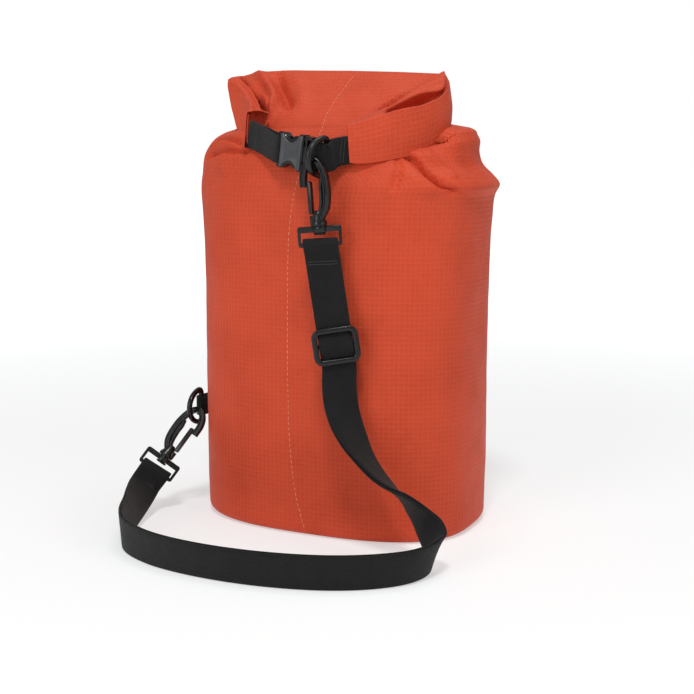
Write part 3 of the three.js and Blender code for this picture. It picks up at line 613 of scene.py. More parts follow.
def pocket_point(end, far, out, t, depth, slot_edge):
    """A point of a face that drops under an overhanging edge into a pocket behind its far corner."""
    place = t * (len(POCKET_ALONG) - 1)
    along = np.interp(place, range(len(POCKET_ALONG)), POCKET_ALONG)
    share = np.interp(place, range(len(POCKET_DEPTH)), POCKET_DEPTH)
    before_pocket = along < 0 and share == 0
    part = slot_edge * (1 + along) if before_pocket else slot_edge + along * (1 - slot_edge)
    rise = sin(pi * t) if share == 0 else -depth * share
    return mix(end, far, part) + out * rise


def folded_section(corners, bows, slot_edge=0.5):
    """A closed outline through four corners, rounded a little. Each face bows out, or is a pocket."""
    corners = np.asarray(corners, float)
    centre = corners.mean(axis=0)
    outline = []
    for k, corner in enumerate(corners):
        before, after = corners[k - 1], corners[(k + 1) % 4]
        start = corner + unit(before - corner) * FOLD_RADIUS
        end = corner + unit(after - corner) * FOLD_RADIUS
        for t in (0, 0.3, 0.5, 0.7, 1):
            outline.append(start * (1 - t) ** 2 + corner * 2 * t * (1 - t) + end * t * t)
        far = after + unit(corner - after) * FOLD_RADIUS
        out = square_to((corner + after) / 2 - centre, after - corner)
        for t in np.linspace(0, 1, 19)[1:-1]:
            if bows[k] < POCKET_BOW:
                outline.append(pocket_point(end, far, out, t, -bows[k], slot_edge))
            else:
                outline.append(mix(end, far, t) + out * bows[k] * sin(pi * t))
    return outline


def roll(name, sections, bows, steps, seed, slot_edges=None, hollow=False):
    """A soft roll through sections, with slight wrinkles, and with an open first end if hollow."""
    slot_edges = slot_edges or [0.5] * len(sections)
    around = np.array([folded_section(*given) for given in zip(sections, bows, slot_edges)])
    columns = [smooth_curve(around[:, k], steps) for k in range(around.shape[1])]
    rings = np.stack(columns, axis=1)
    normals = shell_normals(rings)
    centre = rings.mean(axis=1, keepdims=True)
    if np.sum(normals * (rings - centre), axis=2).mean() < 0:
        normals = -normals
    points = rings.reshape(-1, 3)
    push = 0.3 * ripple(points, seed, 24) + 0.12 * ripple(points, seed + 1, 11)
    rings = (points + normals.reshape(-1, 3) * push[:, None]).reshape(rings.shape)
    if hollow:
        rings = np.concatenate([hollow_end(rings), rings])
    return lofted(name, rings, lengths_round(rings[steps // 2]), lengths_up(rings))


def hollow_end(rings, edge=0.9, depth=9):
    """The rings of a roll's open end, from the bottom of its hollow out to its edge."""
    centre = rings[0].mean(axis=0)
    away = centre - rings[0]
    inset = rings[0] + away / np.linalg.norm(away, axis=1)[:, None] * edge
    inward = unit(rings[6].mean(axis=0) - centre)
    return np.array([inset + inward * depth, inset + inward * 0.5, inset])


def inner_layer(name, section, bows, inward, body):
    """The next turn of fabric, seen inside a roll's open end: two thirds of a shrinking turn."""
    outline = np.array(folded_section(section, bows))
    centre = outline.mean(axis=0)
    first = int(0.3 * len(outline))
    turn = np.roll(outline, -first, axis=0)[: int(0.66 * len(outline))]
    shrink = np.linspace(0.78, 0.5, len(turn))[:, None]
    path = smooth_curve(centre + (turn - centre) * shrink + inward * 4.5, 70)
    sheet = [(-4, -0.4), (0, -0.4), (4, -0.4), (4, 0.4), (0, 0.4), (-4, 0.4)]
    dress(swept(name, path, [inward] * 70, sheet), SHELL, "shell_fabric", body)


right_roll = roll("rolled_mouth_right", RIGHT_SECTIONS, RIGHT_BOWS, 150, 20, SLOT_EDGES, True)
dress(right_roll, SHELL, "shell_fabric", "bag", "mouth_roll_right")
left_roll = roll("rolled_mouth_left", LEFT_SECTIONS, LEFT_BOWS, 100, 30, None, True)
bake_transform(left_roll)
dress(left_roll, SHELL, "shell_fabric", None, "mouth_roll_left")

LEFT_INWARD, RIGHT_INWARD = unit(vec(-0.5, 0.85, 0.1)), unit(vec(0.75, 0.5, 0.1))
inner_layer("left_inner_layer", LEFT_SECTIONS[0], LEFT_BOWS[0], LEFT_INWARD, "closure_left")
inner_layer("right_inner_layer", RIGHT_SECTIONS[0], RIGHT_BOWS[0], RIGHT_INWARD, "bag")

BACK_CORNERS = [(23, 344), (32, 342), (32, 313), (23.5, 312)]
BACK_SECTIONS = [[(x, y, z) for y, z in BACK_CORNERS] for x in np.linspace(-88, 62, 7)]
back_roll = roll("rolled_mouth_back", BACK_SECTIONS, [(0.5, 1.5, 1, 0)] * 7, 120, 40)
dress(back_roll, SHELL, "shell_fabric", "bag", "mouth_roll_back", "mouth_stiffener")


# ---- stitches
# Kinds of stitching: pitch, share of the pitch that shows, thread radius and material.
SEAM_STITCH = (4.2, 0.62, 0.22, PALE_THREAD)
HEM_STITCH = (2.4, 0.7, 0.2, ORANGE_THREAD)
PATCH_STITCH = (2.6, 0.7, 0.2, ORANGE_THREAD)
STRAP_STITCH = (1.9, 0.75, 0.3, BLACK_THREAD)
# One stitch: places along it, and how high the thread lies there in radii. Both ends are sunk.
STITCH_ALONG = (0, 0.12, 0.35, 0.65, 0.88, 1)
STITCH_RISE = (-0.9, 0.1, 0.5, 0.5, 0.1, -0.9)
STITCH_SIDES = 6


def stitch(start, end, normal, radius):
    """The vertices of one thread lying on a surface, in rings of STITCH_SIDES."""
    along = end - start
    places = zip(STITCH_ALONG, STITCH_RISE)
    points = [start + along * part + normal * radius * rise for part, rise in places]
    points = np.array(points)
    _, across, through = frames_along(points, [np.cross(along, normal)] * len(points))
    turns = turns_round(STITCH_SIDES)
    outline = np.stack([radius * np.cos(turns), 0.8 * radius * np.sin(turns)], axis=1)
    return list(rings_along(points, across, through, outline).reshape(-1, 3))


def stitches(name, line, kind, body, slot):
    """A broken line of stitches along a line of places and normals."""
    path, normals = (np.asarray(values, float) for values in line)
    pitch, share, radius, material = kind
    travel = lengths_of(path)
    at = lambda s, data: np.array([np.interp(s, travel, data[:, k]) for k in range(3)])
    vertices, faces = [], []
    sides = range(STITCH_SIDES)
    for i in range(int(travel[-1] / pitch)):
        low = i * pitch + (1 - share) * pitch / 2
        start, end = at(low, path), at(low + share * pitch, path)
        base = len(vertices)
        vertices += stitch(start, end, unit(at(low, normals)), radius)
        last = len(vertices) - STITCH_SIDES
        for a in range(base, last, STITCH_SIDES):
            b = a + STITCH_SIDES
            for j in sides:
                n = (j + 1) % STITCH_SIDES
                faces.append((a + j, a + n, b + n, b + j))
        faces.append(tuple(base + j for j in sides)[::-1])
        faces.append(tuple(last + j for j in sides))
    dress(face_outward(new_object(name, vertices, faces)), material, slot, body)


def nearest_on(made, point):
    """The closest point of a piece's surface, in millimetres, and the surface's normal there."""
    local = made.matrix_world.inverted() @ Vector(point * MM)
    _, place, normal, _ = made.closest_point_on_mesh(local)
    return np.array(made.matrix_world @ place) / MM, np.array(normal)


def laid(made, line, count):
    """A line laid on a piece's surface, and the normals along it."""
    found = [nearest_on(made, p) for p in smooth_curve(line, count)]
    return [place for place, _ in found], [normal for _, normal in found]


# The front seam, from the base to the mouth, and the hem beside the right closure webbing.
SEAM = [(1, -80, 5), (-6, -80, 30), (-11.5, -80, 80), (-12, -80, 176), (-10.5, -80, 225)]
SEAM += [(-6, -80, 256), (1, -74, 282), (6, -60, 300), (3, -40, 315), (5, -18, 334), (7, 2, 347)]
HEM = [(48, -80, 308), (48.5, -82, 295), (48, -80, 282)]
seam_line, hem_line = laid(body_piece, SEAM, 200), laid(right_roll, HEM, 30)
stitches("front_seam_stitches", seam_line, SEAM_STITCH, "bag", "shell_fabric")
stitches("right_hem_stitches", hem_line, HEM_STITCH, "bag", "shell_fabric")


# ---- closure webbing
BUCKLE_CENTRE = vec(5.5, -86.3, 288)
BUCKLE_ALONG = unit(vec(0.957, -0.25, -0.14))
BUCKLE_UP = square_to(UP, BUCKLE_ALONG)
BUCKLE_OUT = np.cross(BUCKLE_ALONG, BUCKLE_UP)


def in_buckle(x, y, z):
    """A point from its place along, up and out from the buckle's centre."""
    return BUCKLE_CENTRE + BUCKLE_ALONG * x + BUCKLE_UP * y + BUCKLE_OUT * z


CLOSURE_WIDTH, CLOSURE_THICKNESS = 20, 1.5


def turned_end(bar, end, sink, room, radius):
    """Webbing's points from inside a roll, round a bar and back. It stays open over the room."""
    direction = end - bar
    along = square_to(direction, BUCKLE_UP)
    out = unit(np.cross(along, BUCKLE_UP))
    if out @ BUCKLE_OUT < 0:
        out = -out
    spread = CLOSURE_THICKNESS / 2 + 0.12
    deep = end + unit(direction) * sink
    points = [deep + out * spread, end + out * spread, mix(bar, end, 0.6) + out * (spread + 0.3)]
    points.append(bar + along * room + out * radius)
    for turn in np.linspace(pi / 2, 1.5 * pi, 9):
        points.append(bar + along * radius * cos(turn) + out * radius * sin(turn))
    points.append(bar + along * room - out * radius)
    points += [mix(bar, end, 0.6) - out * (spread + 0.3), end - out * spread, deep - out * spread]
    return points


def closure_webbing(side, points, body):
    """One side's closure webbing, dressed."""
    name = "closure_webbing_" + side
    made = webbing(name + "_woven", points, BUCKLE_UP, CLOSURE_WIDTH, CLOSURE_THICKNESS, 90)
    return dress(made, STRAP, "webbing", body, name)


left_bar, right_bar = in_buckle(-20, 0, 0), in_buckle(14, 0, 0)
left_end, right_end = vec(-46, -66.5, 301), vec(38.5, -74.6, 290.5)
left_web = closure_webbing("left", turned_end(left_bar, left_end, 2, 2, 3.3), "closure_left")
right_web = closure_webbing("right", turned_end(right_bar, right_end, 3.5, 8.9, 3.4), "bag")


def cross_stitches(name, made, centres, direction, half, body):
    """Rows of stitching across a strip, one through the place on it nearest to each centre."""
    side = unit(direction) * half
    for number, centre in enumerate(centres, 1):
        line = laid(made, [centre - side, centre, centre + side], 24)
        stitches(f"{name}_{number}", line, STRAP_STITCH, body, "webbing")


left_row = mix(left_bar, left_end, 0.78) + BUCKLE_OUT * 3
right_row = mix(right_bar, right_end, 0.8) + BUCKLE_OUT * 3
right_rows = (right_row, right_row + unit(right_end - right_bar) * 2.4)
cross_stitches("left_webbing_stitches", left_web, (left_row,), BUCKLE_UP, 9, "closure_left")
cross_stitches("right_webbing_stitches", right_web, right_rows, BUCKLE_UP, 9, "bag")


# ---- moulded hardware
WELD = 0.01  # points closer than this are one


def round_outline(width, height, power):
    """A section between an ellipse, at power 2, and a rectangle."""
    x, y = rounded(turns_round(20), power)
    return np.stack([width / 2 * x, height / 2 * y], axis=1)


def closed_bar(name, points, normal, outline):
    """An outline carried round a closed line in a plane."""
    points = np.asarray(points, float)
    around = np.vstack([points[-1], points, points[0]])
    _, across, through = frames_along(around, [normal] * len(around))
    rings = rings_along(points, across[1:-1], through[1:-1], outline)
    rings = np.vstack([rings, rings[:1]])
    loop, along = lengths_round(outline), lengths_round(points)
    return face_outward(lofted(name, rings, loop, along, (False, False)), WELD)


# A D-ring's straight bar and depth between the wire's centres, its wire and its corner.
RING_BAR, RING_DEPTH, RING_WIRE, RING_CORNER = 26.4, 18, 4.2, 2


def heading(degrees):
    """A level direction, by its angle from +X."""
    return vec(cos(radians(degrees)), sin(radians(degrees)), 0)


def d_ring(name, bar, up, forward, body, node):
    """A ring whose straight bar runs along up and whose bow stands out along forward."""
    forward = square_to(forward, up)
    points = [(-RING_BAR / 2 + RING_CORNER, 0), (0, 0), (RING_BAR / 2 - RING_CORNER, 0)]
    for turn in np.linspace(pi / 2, -pi / 2, 13):
        reach = RING_CORNER + (RING_DEPTH - RING_CORNER) * cos(turn)
        points.append((RING_BAR / 2 * sin(turn), reach))
    looped = np.array([bar + up * x + forward * y for x, y in points])
    fine = smooth_curve(np.vstack([looped[-2:], looped, looped[:2]]), 190)
    from_first = np.linalg.norm(fine - looped[0], axis=1)
    start, stop = from_first[:60].argmin(), 130 + from_first[130:].argmin()
    wire = round_outline(RING_WIRE, RING_WIRE, 2.3)
    made = closed_bar(name, fine[start:stop], np.cross(up, forward), wire)
    dress(made, PLASTIC, "hardware_plastic", body, node)


UPPER_RING_BAR = vec(24.19, -86.05, 285.45)
LOWER_RING_BAR = vec(-117.2, -29, 82)
d_ring("upper_ring", UPPER_RING_BAR, BUCKLE_UP, heading(-105), "ring_upper", "d_ring_upper")
d_ring("lower_ring", LOWER_RING_BAR, UP, heading(-90), "ring_lower", "d_ring_lower")


# The section of a hook's limb: across its thickness, then outward. Both side faces have a groove.
LIMB_SIDE = [(2.3, -1.9), (2.35, -1.1), (1.5, -0.85), (1.4, 0.85), (2.35, 1.1), (2.3, 1.9)]
LIMB = [(-1.9, -2.3), (1.9, -2.3), *LIMB_SIDE, (1.9, 2.3), (-1.9, 2.3)]
LIMB += [(-x, y) for x, y in LIMB_SIDE[::-1]]
# The hook's middle line, from its foot round to its nose.
HOOK_LINE = [(0.6, 4.6), (6.4, 12), (8.3, 22), (7.6, 34), (4.2, 43.2)]
HOOK_LINE += [(-1, 46.7), (-6.2, 43.4), (-9.3, 37), (-9.8, 27.5)]
# The rib inside a hook's spine, and the thin web that joins it to the spine.
INNER_LINE = [(1.2, 8.5), (3.0, 14), (3.9, 22), (3.8, 28), (4.9, 33.5)]
WEB_LINE = [(3.4, 10.5), (5.2, 16), (6.1, 22), (6.0, 28), (6.4, 33)]
# The turned foot and stem under the hook: height, radius.
FOOT = [(-6.1, 0.5), (-6.1, 3.9), (-5.6, 4.4), (-4.8, 4.4), (-4.4, 3), (0.2, 3), (0.3, 5.4), (0.8, 6)]
FOOT += [(2.3, 6), (3.6, 5.3), (6.6, 4.2), (9.6, 3.3), (10.8, 2.2), (11, 0.5)]


def hook_piece(name, swivel, axis, across, body, node):
    """A snap hook on its swivel's face, with its spine along axis and its nose opposite across."""
    axis = unit(axis)
    across = square_to(across, axis)
    through = np.cross(across, axis)
    at = lambda x, y: swivel + across * x + axis * y

    def bar(part, line, steps, outline):
        points = smooth_curve([at(x, y) for x, y in line], steps)
        return swept(f"{name}_{part}", points, [through] * steps, outline)

    limb = bar("limb", HOOK_LINE, 90, LIMB)
    turns = turns_round(32)[:, None]
    circle = np.cos(turns) * across + np.sin(turns) * through
    rings = [at(0, height) + radius * circle for height, radius in FOOT]
    foot = lofted(name + "_foot", rings, np.linspace(0, 30, 33), [height for height, _ in FOOT])
    root_line = [at(-3.6, y) for y in (1.2, 2.4, 5.4, 7.2)]
    root = swept(name + "_root", root_line, [across] * 4, round_outline(5.4, 4.2, 5))
    rib = bar("rib", HOOK_LINE[2:5], 40, round_outline(3.6, 0.7, 3))
    inner = bar("inner", INNER_LINE, 50, round_outline(4.0, 2.4, 3.5))
    web = bar("web", WEB_LINE, 50, round_outline(1.6, 4.4, 5))
    made = joined(name, [limb, foot, root, rib, inner, web])
    modified(made, "BEVEL", width=0.18 * MM, segments=2, limit_method="ANGLE", angle_limit=0.6)
    dress(made, PLASTIC, "hardware_plastic", body, node)


# Each hook's swivel face, the direction of its spine and the direction away from its nose.
UPPER_SWIVEL, LOWER_SWIVEL = vec(22.871, -93.515, 237.279), vec(-133.996, -58.805, 43.408)
UPPER_AXIS, LOWER_AXIS = unit(vec(-0.047, -0.068, 0.997)), unit(vec(0.42, 0.47, 0.775))
UPPER_ACROSS, LOWER_ACROSS = heading(-2), vec(-0.87, 0.06, 0.43)
hook_piece("upper_snap_hook", UPPER_SWIVEL, UPPER_AXIS, UPPER_ACROSS, "hook_upper_body", "hook_upper")
hook_piece("lower_snap_hook", LOWER_SWIVEL, LOWER_AXIS, LOWER_ACROSS, "hook_lower_body", "hook_lower")


def rounded_cad(node, width):
    """Keeps a CAD node, with its edges rounded, in plastic."""
    made = NODES[node]
    made.data.materials.clear()
    made.data.materials.append(PLASTIC)
    made.data.polygons.foreach_set("use_smooth", [True] * len(made.data.polygons))
    modified(made, "WELD", merge_threshold=WELD * MM)
    bevel = modified(made, "BEVEL", width=width * MM, segments=3, limit_method="ANGLE")
    bevel.angle_limit = radians(32)
    bevel.harden_normals = True


for place in ("upper", "lower"):
    rounded_cad("hook_gate_" + place, 0.35)
    rounded_cad("latch_arm_" + place, 0.35)
    rounded_cad("swivel_loop_" + place, 0.45)
rounded_cad("buckle_male", 0.4)
rounded_cad("buckle_female", 0.45)


# The upper edge of the plate on the buckle's female half, and its section: height and inset.
PLATE_EDGE = [(3.2, 12.4), (0.8, 12.2), (-1.6, 9.2), (-5, 6.9)]
PLATE_EDGE += [(-8.6, 6.6), (-12, 8.4), (-15.4, 11.8), (-17, 11.9)]
PLATE_SECTION = [(3.4, 0), (4.1, 0.1), (4.7, 0.7), (4.8, 2.2), (4.3, 3.2)]
PLATE_MIDDLE = vec(-7, 0)


def buckle_plate():
    """The raised face of the buckle's female half: a plate with a waist."""
    corners = np.array(PLATE_EDGE + [(x, -y) for x, y in PLATE_EDGE[::-1]])
    between = (corners + np.roll(corners, -1, axis=0)) / 2
    outline = np.stack([corners, between], axis=1).reshape(-1, 2)
    rings = []
    for rise, inset in PLATE_SECTION:
        pulled = [point + unit(PLATE_MIDDLE - point) * inset for point in outline]
        rings.append([in_buckle(x, y, rise) for x, y in pulled])
    made = lofted("buckle_plate", rings, range(len(outline) + 1), range(len(rings)))
    dress(made, GREY_PLASTIC, "buckle_plastic", "closure_left")


buckle_plate()


# ---- the ring's patch and tab
def laid_panel(name, host, corner, along, up, columns, rows, thickness):
    """A thin sheet that follows a piece's surface, in a grid of columns and rows."""
    outer, inner = [], []
    for i in range(rows + 1):
        for j in range(columns + 1):
            place, normal = nearest_on(host, corner + along * (j / columns) + up * (i / rows))
            outer.append(place + normal * thickness)
            inner.append(place - normal * 0.4)
    count = len(outer)
    at = lambda i, j: i * (columns + 1) + j
    faces, uvs = [], []
    for i in range(rows):
        for j in range(columns):
            quad = (at(i, j), at(i, j + 1), at(i + 1, j + 1), at(i + 1, j))
            faces += [quad, tuple(count + k for k in quad[::-1])]
    rim = [at(0, j) for j in range(columns)] + [at(i, columns) for i in range(rows)]
    rim += [at(rows, j) for j in range(columns, 0, -1)] + [at(i, 0) for i in range(rows, 0, -1)]
    faces += [(rim[k - 1], rim[k], count + rim[k], count + rim[k - 1]) for k in range(len(rim))]
    long, tall = np.linalg.norm(along), np.linalg.norm(up)
    flat = [(j / columns * long, i / rows * tall) for i in range(rows + 1) for j in range(columns + 1)]
    uvs = [flat[k % count] for face in faces for k in face]
    made = face_outward(new_object(name, outer + inner, faces, uvs))
    modified(made, "BEVEL", width=0.35 * MM, segments=2, limit_method="ANGLE")
    return made


PATCH_CORNER, PATCH_ALONG, PATCH_UP = vec(-116, -16, 65), vec(0, 50, 0), vec(0, 0, 34)
patch = laid_panel("ring_patch", body_piece, PATCH_CORNER, PATCH_ALONG, PATCH_UP, 40, 26, 1.0)
dress(patch, BASE, "base_fabric", "bag", "tab_patch")
# The patch's four rows of stitching, from one corner to another.
FRONT_LOW, BACK_LOW = vec(-120, -14, 67), vec(-120, 32, 67)
FRONT_HIGH, BACK_HIGH = vec(-120, -14, 97), vec(-120, 32, 97)
patch_rows = [(FRONT_LOW, BACK_LOW), (BACK_LOW, BACK_HIGH), (FRONT_HIGH, BACK_HIGH)]
patch_rows.append((FRONT_LOW, FRONT_HIGH))
for row_number, (row_start, row_end) in enumerate(patch_rows, 1):
    row_line = laid(patch, [mix(row_start, row_end, t) for t in (0, 0.25, 0.5, 0.75, 1)], 40)
    stitches(f"patch_stitches_{row_number}", row_line, PATCH_STITCH, "bag", "shell_fabric")


TAB_WIDTH, TAB_THICKNESS = 16, 1.5


def ring_tab_points():
    """The tab's middle line: both layers lie on the patch, and its fold holds the ring's bar."""
    x, y, z = LOWER_RING_BAR
    wall = -113.6
    radius = RING_WIRE / 2 + 0.2 + TAB_THICKNESS / 2
    points = [(wall - 1.9, 28), (wall - 1.9, 8), (wall - 1.9, -8), (x - 1.4, -18)]
    for turn in np.linspace(pi, 2 * pi, 9):
        points.append((x + radius * cos(turn), y + radius * sin(turn)))
    points += [(wall - 0.3, -18), (wall, -8), (wall, 8), (wall, 28)]
    return [vec(px, py, z) for px, py in points]


ring_tab = webbing("ring_tab_woven", ring_tab_points(), UP, TAB_WIDTH, TAB_THICKNESS, 110)
dress(ring_tab, STRAP, "webbing", "bag", "ring_tab")
tab_rows = (vec(-120, -6, 82), vec(-120, 24, 82))
cross_stitches("ring_tab_stitches", ring_tab, tab_rows, UP, 7, "bag")


# ---- the shoulder strap
# The strap's middle line and its width direction, from below the slider to the lower hook.
COURSE = [
    (37.2, -90.6, 137, 0.9, 0.44, 0.1),
    (37.4, -91, 125, 0.88, 0.47, 0.05),
    (38.8, -91.6, 112, 0.82, 0.57, 0.05),
    (42.9, -92.3, 99, 0.58, 0.78, 0.25),
    (50.3, -93.2, 85.5, 0.28, 0.93, 0.25),
    (59.5, -94.2, 72.8, -0.02, 0.99, 0.11),
    (71, -95.2, 61, -0.22, 0.97, 0),
    (84, -96, 51.5, -0.42, 0.89, -0.17),
    (94, -97.3, 45, -0.49, 0.74, -0.45),
    (104, -98.6, 37, -0.55, 0.53, -0.65),
    (114, -100.6, 26.5, -0.53, 0.08, -0.84),
    (120.5, -108, 18.5, -0.39, -0.1, -0.91),
    (122, -121, 14.5, -0.28, 0.06, -0.96),
    (115.5, -138.5, 13.2, -0.18, 0.14, -0.97),
    (97, -157.5, 12.8, -0.08, 0.13, -0.99),
    (66, -175, 12.8, -0.02, 0.12, -0.99),
    (20, -186.5, 12.8, 0, 0.12, -0.99),
    (-30, -188, 12.8, 0, 0.12, -0.99),
    (-72, -180, 12.8, 0, 0.1, -1),
    (-103, -163, 12.9, 0.02, 0.06, -1),
    (-119, -142, 13.4, 0.12, 0.03, -0.99),
    (-129, -118, 14.6, 0.32, 0.05, -0.95),
    (-137.5, -97, 16.6, 0.52, 0.13, -0.84),
]
STRAP_WIDTH, STRAP_THICKNESS, STRAP_STEPS = 25, 1.6, 760
LAYER_STEP = 2.2  # between the middles of two layers
LOOP_BAR_DROP = 13.1  # from a hook's swivel face down to its loop's bar
BAR_ROUND = 3.7  # the strap's turn over a loop's bar
UPPER_STRAP_ACROSS = unit(vec(0.905, 0.42, 0.05))
LOWER_STRAP_ACROSS = unit(vec(0.8, 0.28, -0.53))

upper_bar = UPPER_SWIVEL - UPPER_AXIS * LOOP_BAR_DROP
lower_bar = LOWER_SWIVEL - LOWER_AXIS * LOOP_BAR_DROP
course_start = vec(*COURSE[0][:3])
hang_down = unit(course_start - upper_bar)
hang_front = unit(np.cross(hang_down, UPPER_STRAP_ACROSS))


def over_bar(bar, top, side):
    """Half a turn over a loop's bar, from one side of it to the other."""
    turns = np.linspace(0, pi, 9)
    return [bar + BAR_ROUND * (side * cos(t) + top * sin(t)) for t in turns]


def strap_course():
    """The strap's middle line and widths, and which of its points belong to the course."""
    seam = upper_bar + hang_down * 9
    loop_back = unit(np.cross(UPPER_AXIS, UPPER_STRAP_ACROSS))
    upper = [
        upper_bar + hang_down * 15 - hang_front * LAYER_STEP * 0.8,
        seam - hang_front * LAYER_STEP * 0.8,
        *over_bar(upper_bar, UPPER_AXIS, loop_back),
        seam,
        upper_bar + hang_down * 30,
        upper_bar + hang_down * 60,
    ]
    rise_front = unit(np.cross(LOWER_AXIS, square_to(LOWER_STRAP_ACROSS, LOWER_AXIS)))
    below = lambda distance, through: lower_bar - LOWER_AXIS * distance + rise_front * through
    lower = [
        below(13, 1.2),
        below(6, 2.2),
        *over_bar(lower_bar, LOWER_AXIS, rise_front),
        below(6, -2.4),
    ]
    points = upper + [vec(*row[:3]) for row in COURSE] + lower
    widths = [UPPER_STRAP_ACROSS] * len(upper) + [unit(row[3:]) for row in COURSE]
    widths += [LOWER_STRAP_ACROSS] * len(lower)
    first, last = len(upper), len(upper) + len(COURSE)
    return np.array(points), np.array(widths), first, last


def strapping(name, points, widths, steps=None):
    """A piece of the strap's own webbing."""
    return webbing(name, points, widths, STRAP_WIDTH, STRAP_THICKNESS, steps)


def whole_strap():
    """The strap from its upper sewn end to the lower loop and back, behind itself, to the slider."""
    points, widths, first, last = strap_course()
    down = smooth_curve(np.hstack([points, widths]), STRAP_STEPS)
    line, width = down[:, :3], down[:, 3:]
    starts, stops = (np.linalg.norm(line - points[row], axis=1).argmin() for row in (first, last))
    _, across, through = frames_along(line, width)
    back = np.hstack([line - through * LAYER_STEP, across])[starts:stops][::-1]
    course = np.vstack([down, back[2:]])
    return strapping("shoulder_strap_woven", course[:, :3], course[:, 3:])


strap = whole_strap()
dress(strap, STRAP, "webbing", "bag", "shoulder_strap", "strap_return")
# Two rows of stitching hold the strap's upper end.
end_row = upper_bar + hang_down * 12.5 + hang_front * 4
end_rows = (end_row, end_row + hang_down * 1.9)

# The return layer's end goes round the slider's middle bar.
SLIDER_CENTRE = course_start - hang_down * 15
SLIDER_UP = -hang_down
SLIDER_OUT = np.cross(UPPER_STRAP_ACROSS, SLIDER_UP)
SLIDER_ACROSS = np.cross(SLIDER_UP, SLIDER_OUT)
SLIDER_WIDTH, SLIDER_LENGTH, SLIDER_RAIL = 34, 27, 4.2
SLIDER_BAR = -5.1  # the middle bar, behind the frame
SLIDER_CORNER = 4.6


def in_slider(x, y, z):
    """A point from its place across, up and out from the slider's centre."""
    return SLIDER_CENTRE + SLIDER_ACROSS * x + SLIDER_UP * y + SLIDER_OUT * z


def return_end_points():
    """The return layer's end: up behind the strap, over the middle bar and down again."""
    points = [in_slider(0, -13, -LAYER_STEP), in_slider(0, -5, -LAYER_STEP)]
    for turn in np.linspace(0.15, pi, 9):
        out = min(SLIDER_BAR + 3.3 * cos(turn), -LAYER_STEP)
        points.append(in_slider(0, 3.3 * sin(turn), out))
    return points + [in_slider(0, -5, -6.4), in_slider(0, -12, -2 * LAYER_STEP)]


def slider_frame():
    """The slider's frame, carried round a rectangle with rounded corners."""
    half_width, half_length = (SLIDER_WIDTH - SLIDER_RAIL) / 2, (SLIDER_LENGTH - SLIDER_RAIL) / 2
    line = []
    for quarter, (x, y) in enumerate(((1, 1), (-1, 1), (-1, -1), (1, -1))):
        x, y = x * (half_width - SLIDER_CORNER), y * (half_length - SLIDER_CORNER)
        for turn in np.linspace(0, pi / 2, 9) + quarter * pi / 2:
            across, up = SLIDER_CORNER * cos(turn), SLIDER_CORNER * sin(turn)
            line.append(in_slider(x + across, y + up, 2.6))
    return closed_bar("strap_slider_frame", line, SLIDER_OUT, round_outline(3.0, SLIDER_RAIL, 3))


return_end = strapping("strap_return_end_woven", return_end_points(), UPPER_STRAP_ACROSS, 80)
dress(return_end, STRAP, "webbing", "slider", "strap_return_end")

slider_parts = [slider_frame()]
for side in (-1, 1):
    rail_x = side * (SLIDER_WIDTH / 2 - 1.9)
    rail_line = [in_slider(rail_x, 0, z) for z in (2.2, -0.5, -3.4, SLIDER_BAR - 1.2)]
    slider_parts.append(swept("rail", rail_line, [SLIDER_UP] * 4, round_outline(13, 2.8, 5)))
bar_line = [in_slider(x, 0, SLIDER_BAR) for x in (-15, -5, 5, 15)]
slider_parts.append(swept("bar", bar_line, [SLIDER_UP] * 4, round_outline(3.6, 3, 3.5)))
slider_piece = joined("strap_slider_frame", slider_parts)
dress(slider_piece, PLASTIC, "hardware_plastic", "slider", "strap_slider")

# The strap swells out through the slider's window, over the middle bar behind it.
SWELL_LINE = [(-8.6, 0.4), (-6, 1.2), (-3, 2.2), (0, 2.6), (3, 2.2), (6, 1.2), (8.6, 0.4)]
swell_points = [in_slider(0, y, z) for y, z in SWELL_LINE]
SWELL_WIDTH = STRAP_WIDTH - 0.3
swell = webbing("slider_swell", swell_points, UPPER_STRAP_ACROSS, SWELL_WIDTH, STRAP_THICKNESS, 50)
dress(swell, STRAP, "webbing", "slider")
cross_stitches("strap_upper_stitches", strap, end_rows, UPPER_STRAP_ACROSS, 11, "bag")


# ---- studio
WHITE = (1, 1, 1, 1)
FLOOR_SIDE, FLOOR_FRONT, FLOOR_BACK = 6000, -6000, 9000
FLOOR_DARK, FLOOR_LIGHT = (0.92, 0.92, 0.92, 1), (0.95, 0.95, 0.95, 1)
FLOOR_SEEN = (0.56, 0.57, 0.57, 1)  # what the camera sees of the floor, under its own glow
SUBJECT = (0, 0, 0.18)
# Soft lights: name, place, size in metres and power in watts.
LIGHTS = [
    ("key_light", (0.45, -1.2, 2.4), 0.5, 29),
    ("fill_light", (-0.6, -2.2, 0.9), 1.4, 14),
    ("top_light", (0.3, 0.3, 2.2), 1.2, 12),
    ("side_light", (1.9, -0.5, 0.8), 1.0, 5),
]


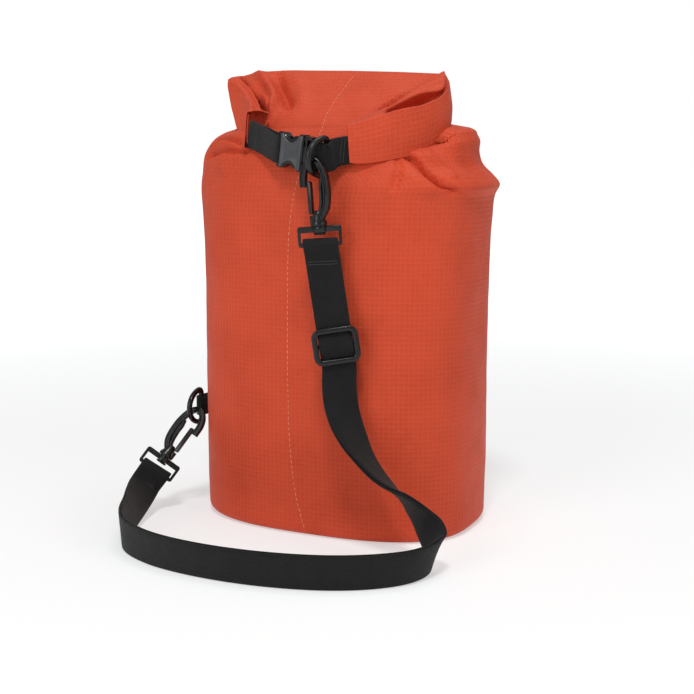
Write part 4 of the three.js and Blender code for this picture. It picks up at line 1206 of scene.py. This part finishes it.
def studio_floor():
    """A pale floor. Its glow grows away from the bag to the camera, and is faint to other rays."""
    corners = [(x, FLOOR_FRONT, 0) for x in (-FLOOR_SIDE, FLOOR_SIDE)]
    corners += [(x, FLOOR_BACK, 0) for x in (FLOOR_SIDE, -FLOOR_SIDE)]
    floor = new_object("floor", corners, [(0, 1, 2, 3)])
    s = shader("studio_floor")
    speckle = s.noise(4.0, 2.0)
    seen = s.add("LightPath").outputs["Is Camera Ray"]
    place = s.add("TexCoord").outputs["Object"]
    away = s.add("VectorMath", {0: place}, operation="LENGTH").outputs["Value"]
    glow = s.ramp(away, 0.2, 2.0, 0.46, 0.98)
    paper = s.finish(
        Base_Color=s.blend(seen, s.blend(speckle, FLOOR_DARK, FLOOR_LIGHT), FLOOR_SEEN),
        Roughness=0.9,
        Specular_IOR_Level=0.1,
        Emission_Color=WHITE,
        Emission_Strength=s.math("MAXIMUM", s.math("MULTIPLY", seen, glow), 0.16),
    )
    floor.data.materials.append(paper)


def soft_light(name, place, size, power):
    """A round area light that faces the bag."""
    data = bpy.data.lights.new(name, "AREA")
    data.shape = "DISK"
    data.size = size
    data.energy = power
    lamp = bpy.data.objects.new(name, data)
    lamp.location = place
    lamp.rotation_euler = (Vector(SUBJECT) - Vector(place)).to_track_quat("-Z", "Y").to_euler()
    bpy.context.scene.collection.objects.link(lamp)


def studio_world():
    """White surroundings: full to the camera, less in reflections and dim as a light."""
    s = Shader(bpy.data.worlds.new("studio_world"), "Background")
    rays = s.add("LightPath").outputs
    seen = s.math("MULTIPLY_ADD", rays["Is Glossy Ray"], 0.3, rays["Is Camera Ray"])
    strength = s.add("MapRange", {"Value": seen, "To Min": 0.2, "To Max": 1.0})
    bpy.context.scene.world = s.finish(Color=WHITE, Strength=strength.outputs["Result"])
    bpy.context.scene.view_settings.view_transform = "Standard"


def studio_camera():
    """The photograph's viewpoint: in front, a little to the right and above, with a long lens."""
    data = bpy.data.cameras.new("camera")
    data.lens = 65.69
    data.sensor_width = 36
    data.clip_end = 50
    camera = bpy.data.objects.new("camera", data)
    turn, dip = radians(24.937), radians(9.724)
    level = cos(dip)
    forward = Vector((-sin(turn) * level, cos(turn) * level, -sin(dip)))
    camera.location = (0.41959, -0.89982, 0.30425)
    camera.rotation_euler = forward.to_track_quat("-Z", "Y").to_euler()
    bpy.context.scene.collection.objects.link(camera)
    bpy.context.scene.camera = camera


studio_floor()
for light in LIGHTS:
    soft_light(*light)
studio_world()
studio_camera()
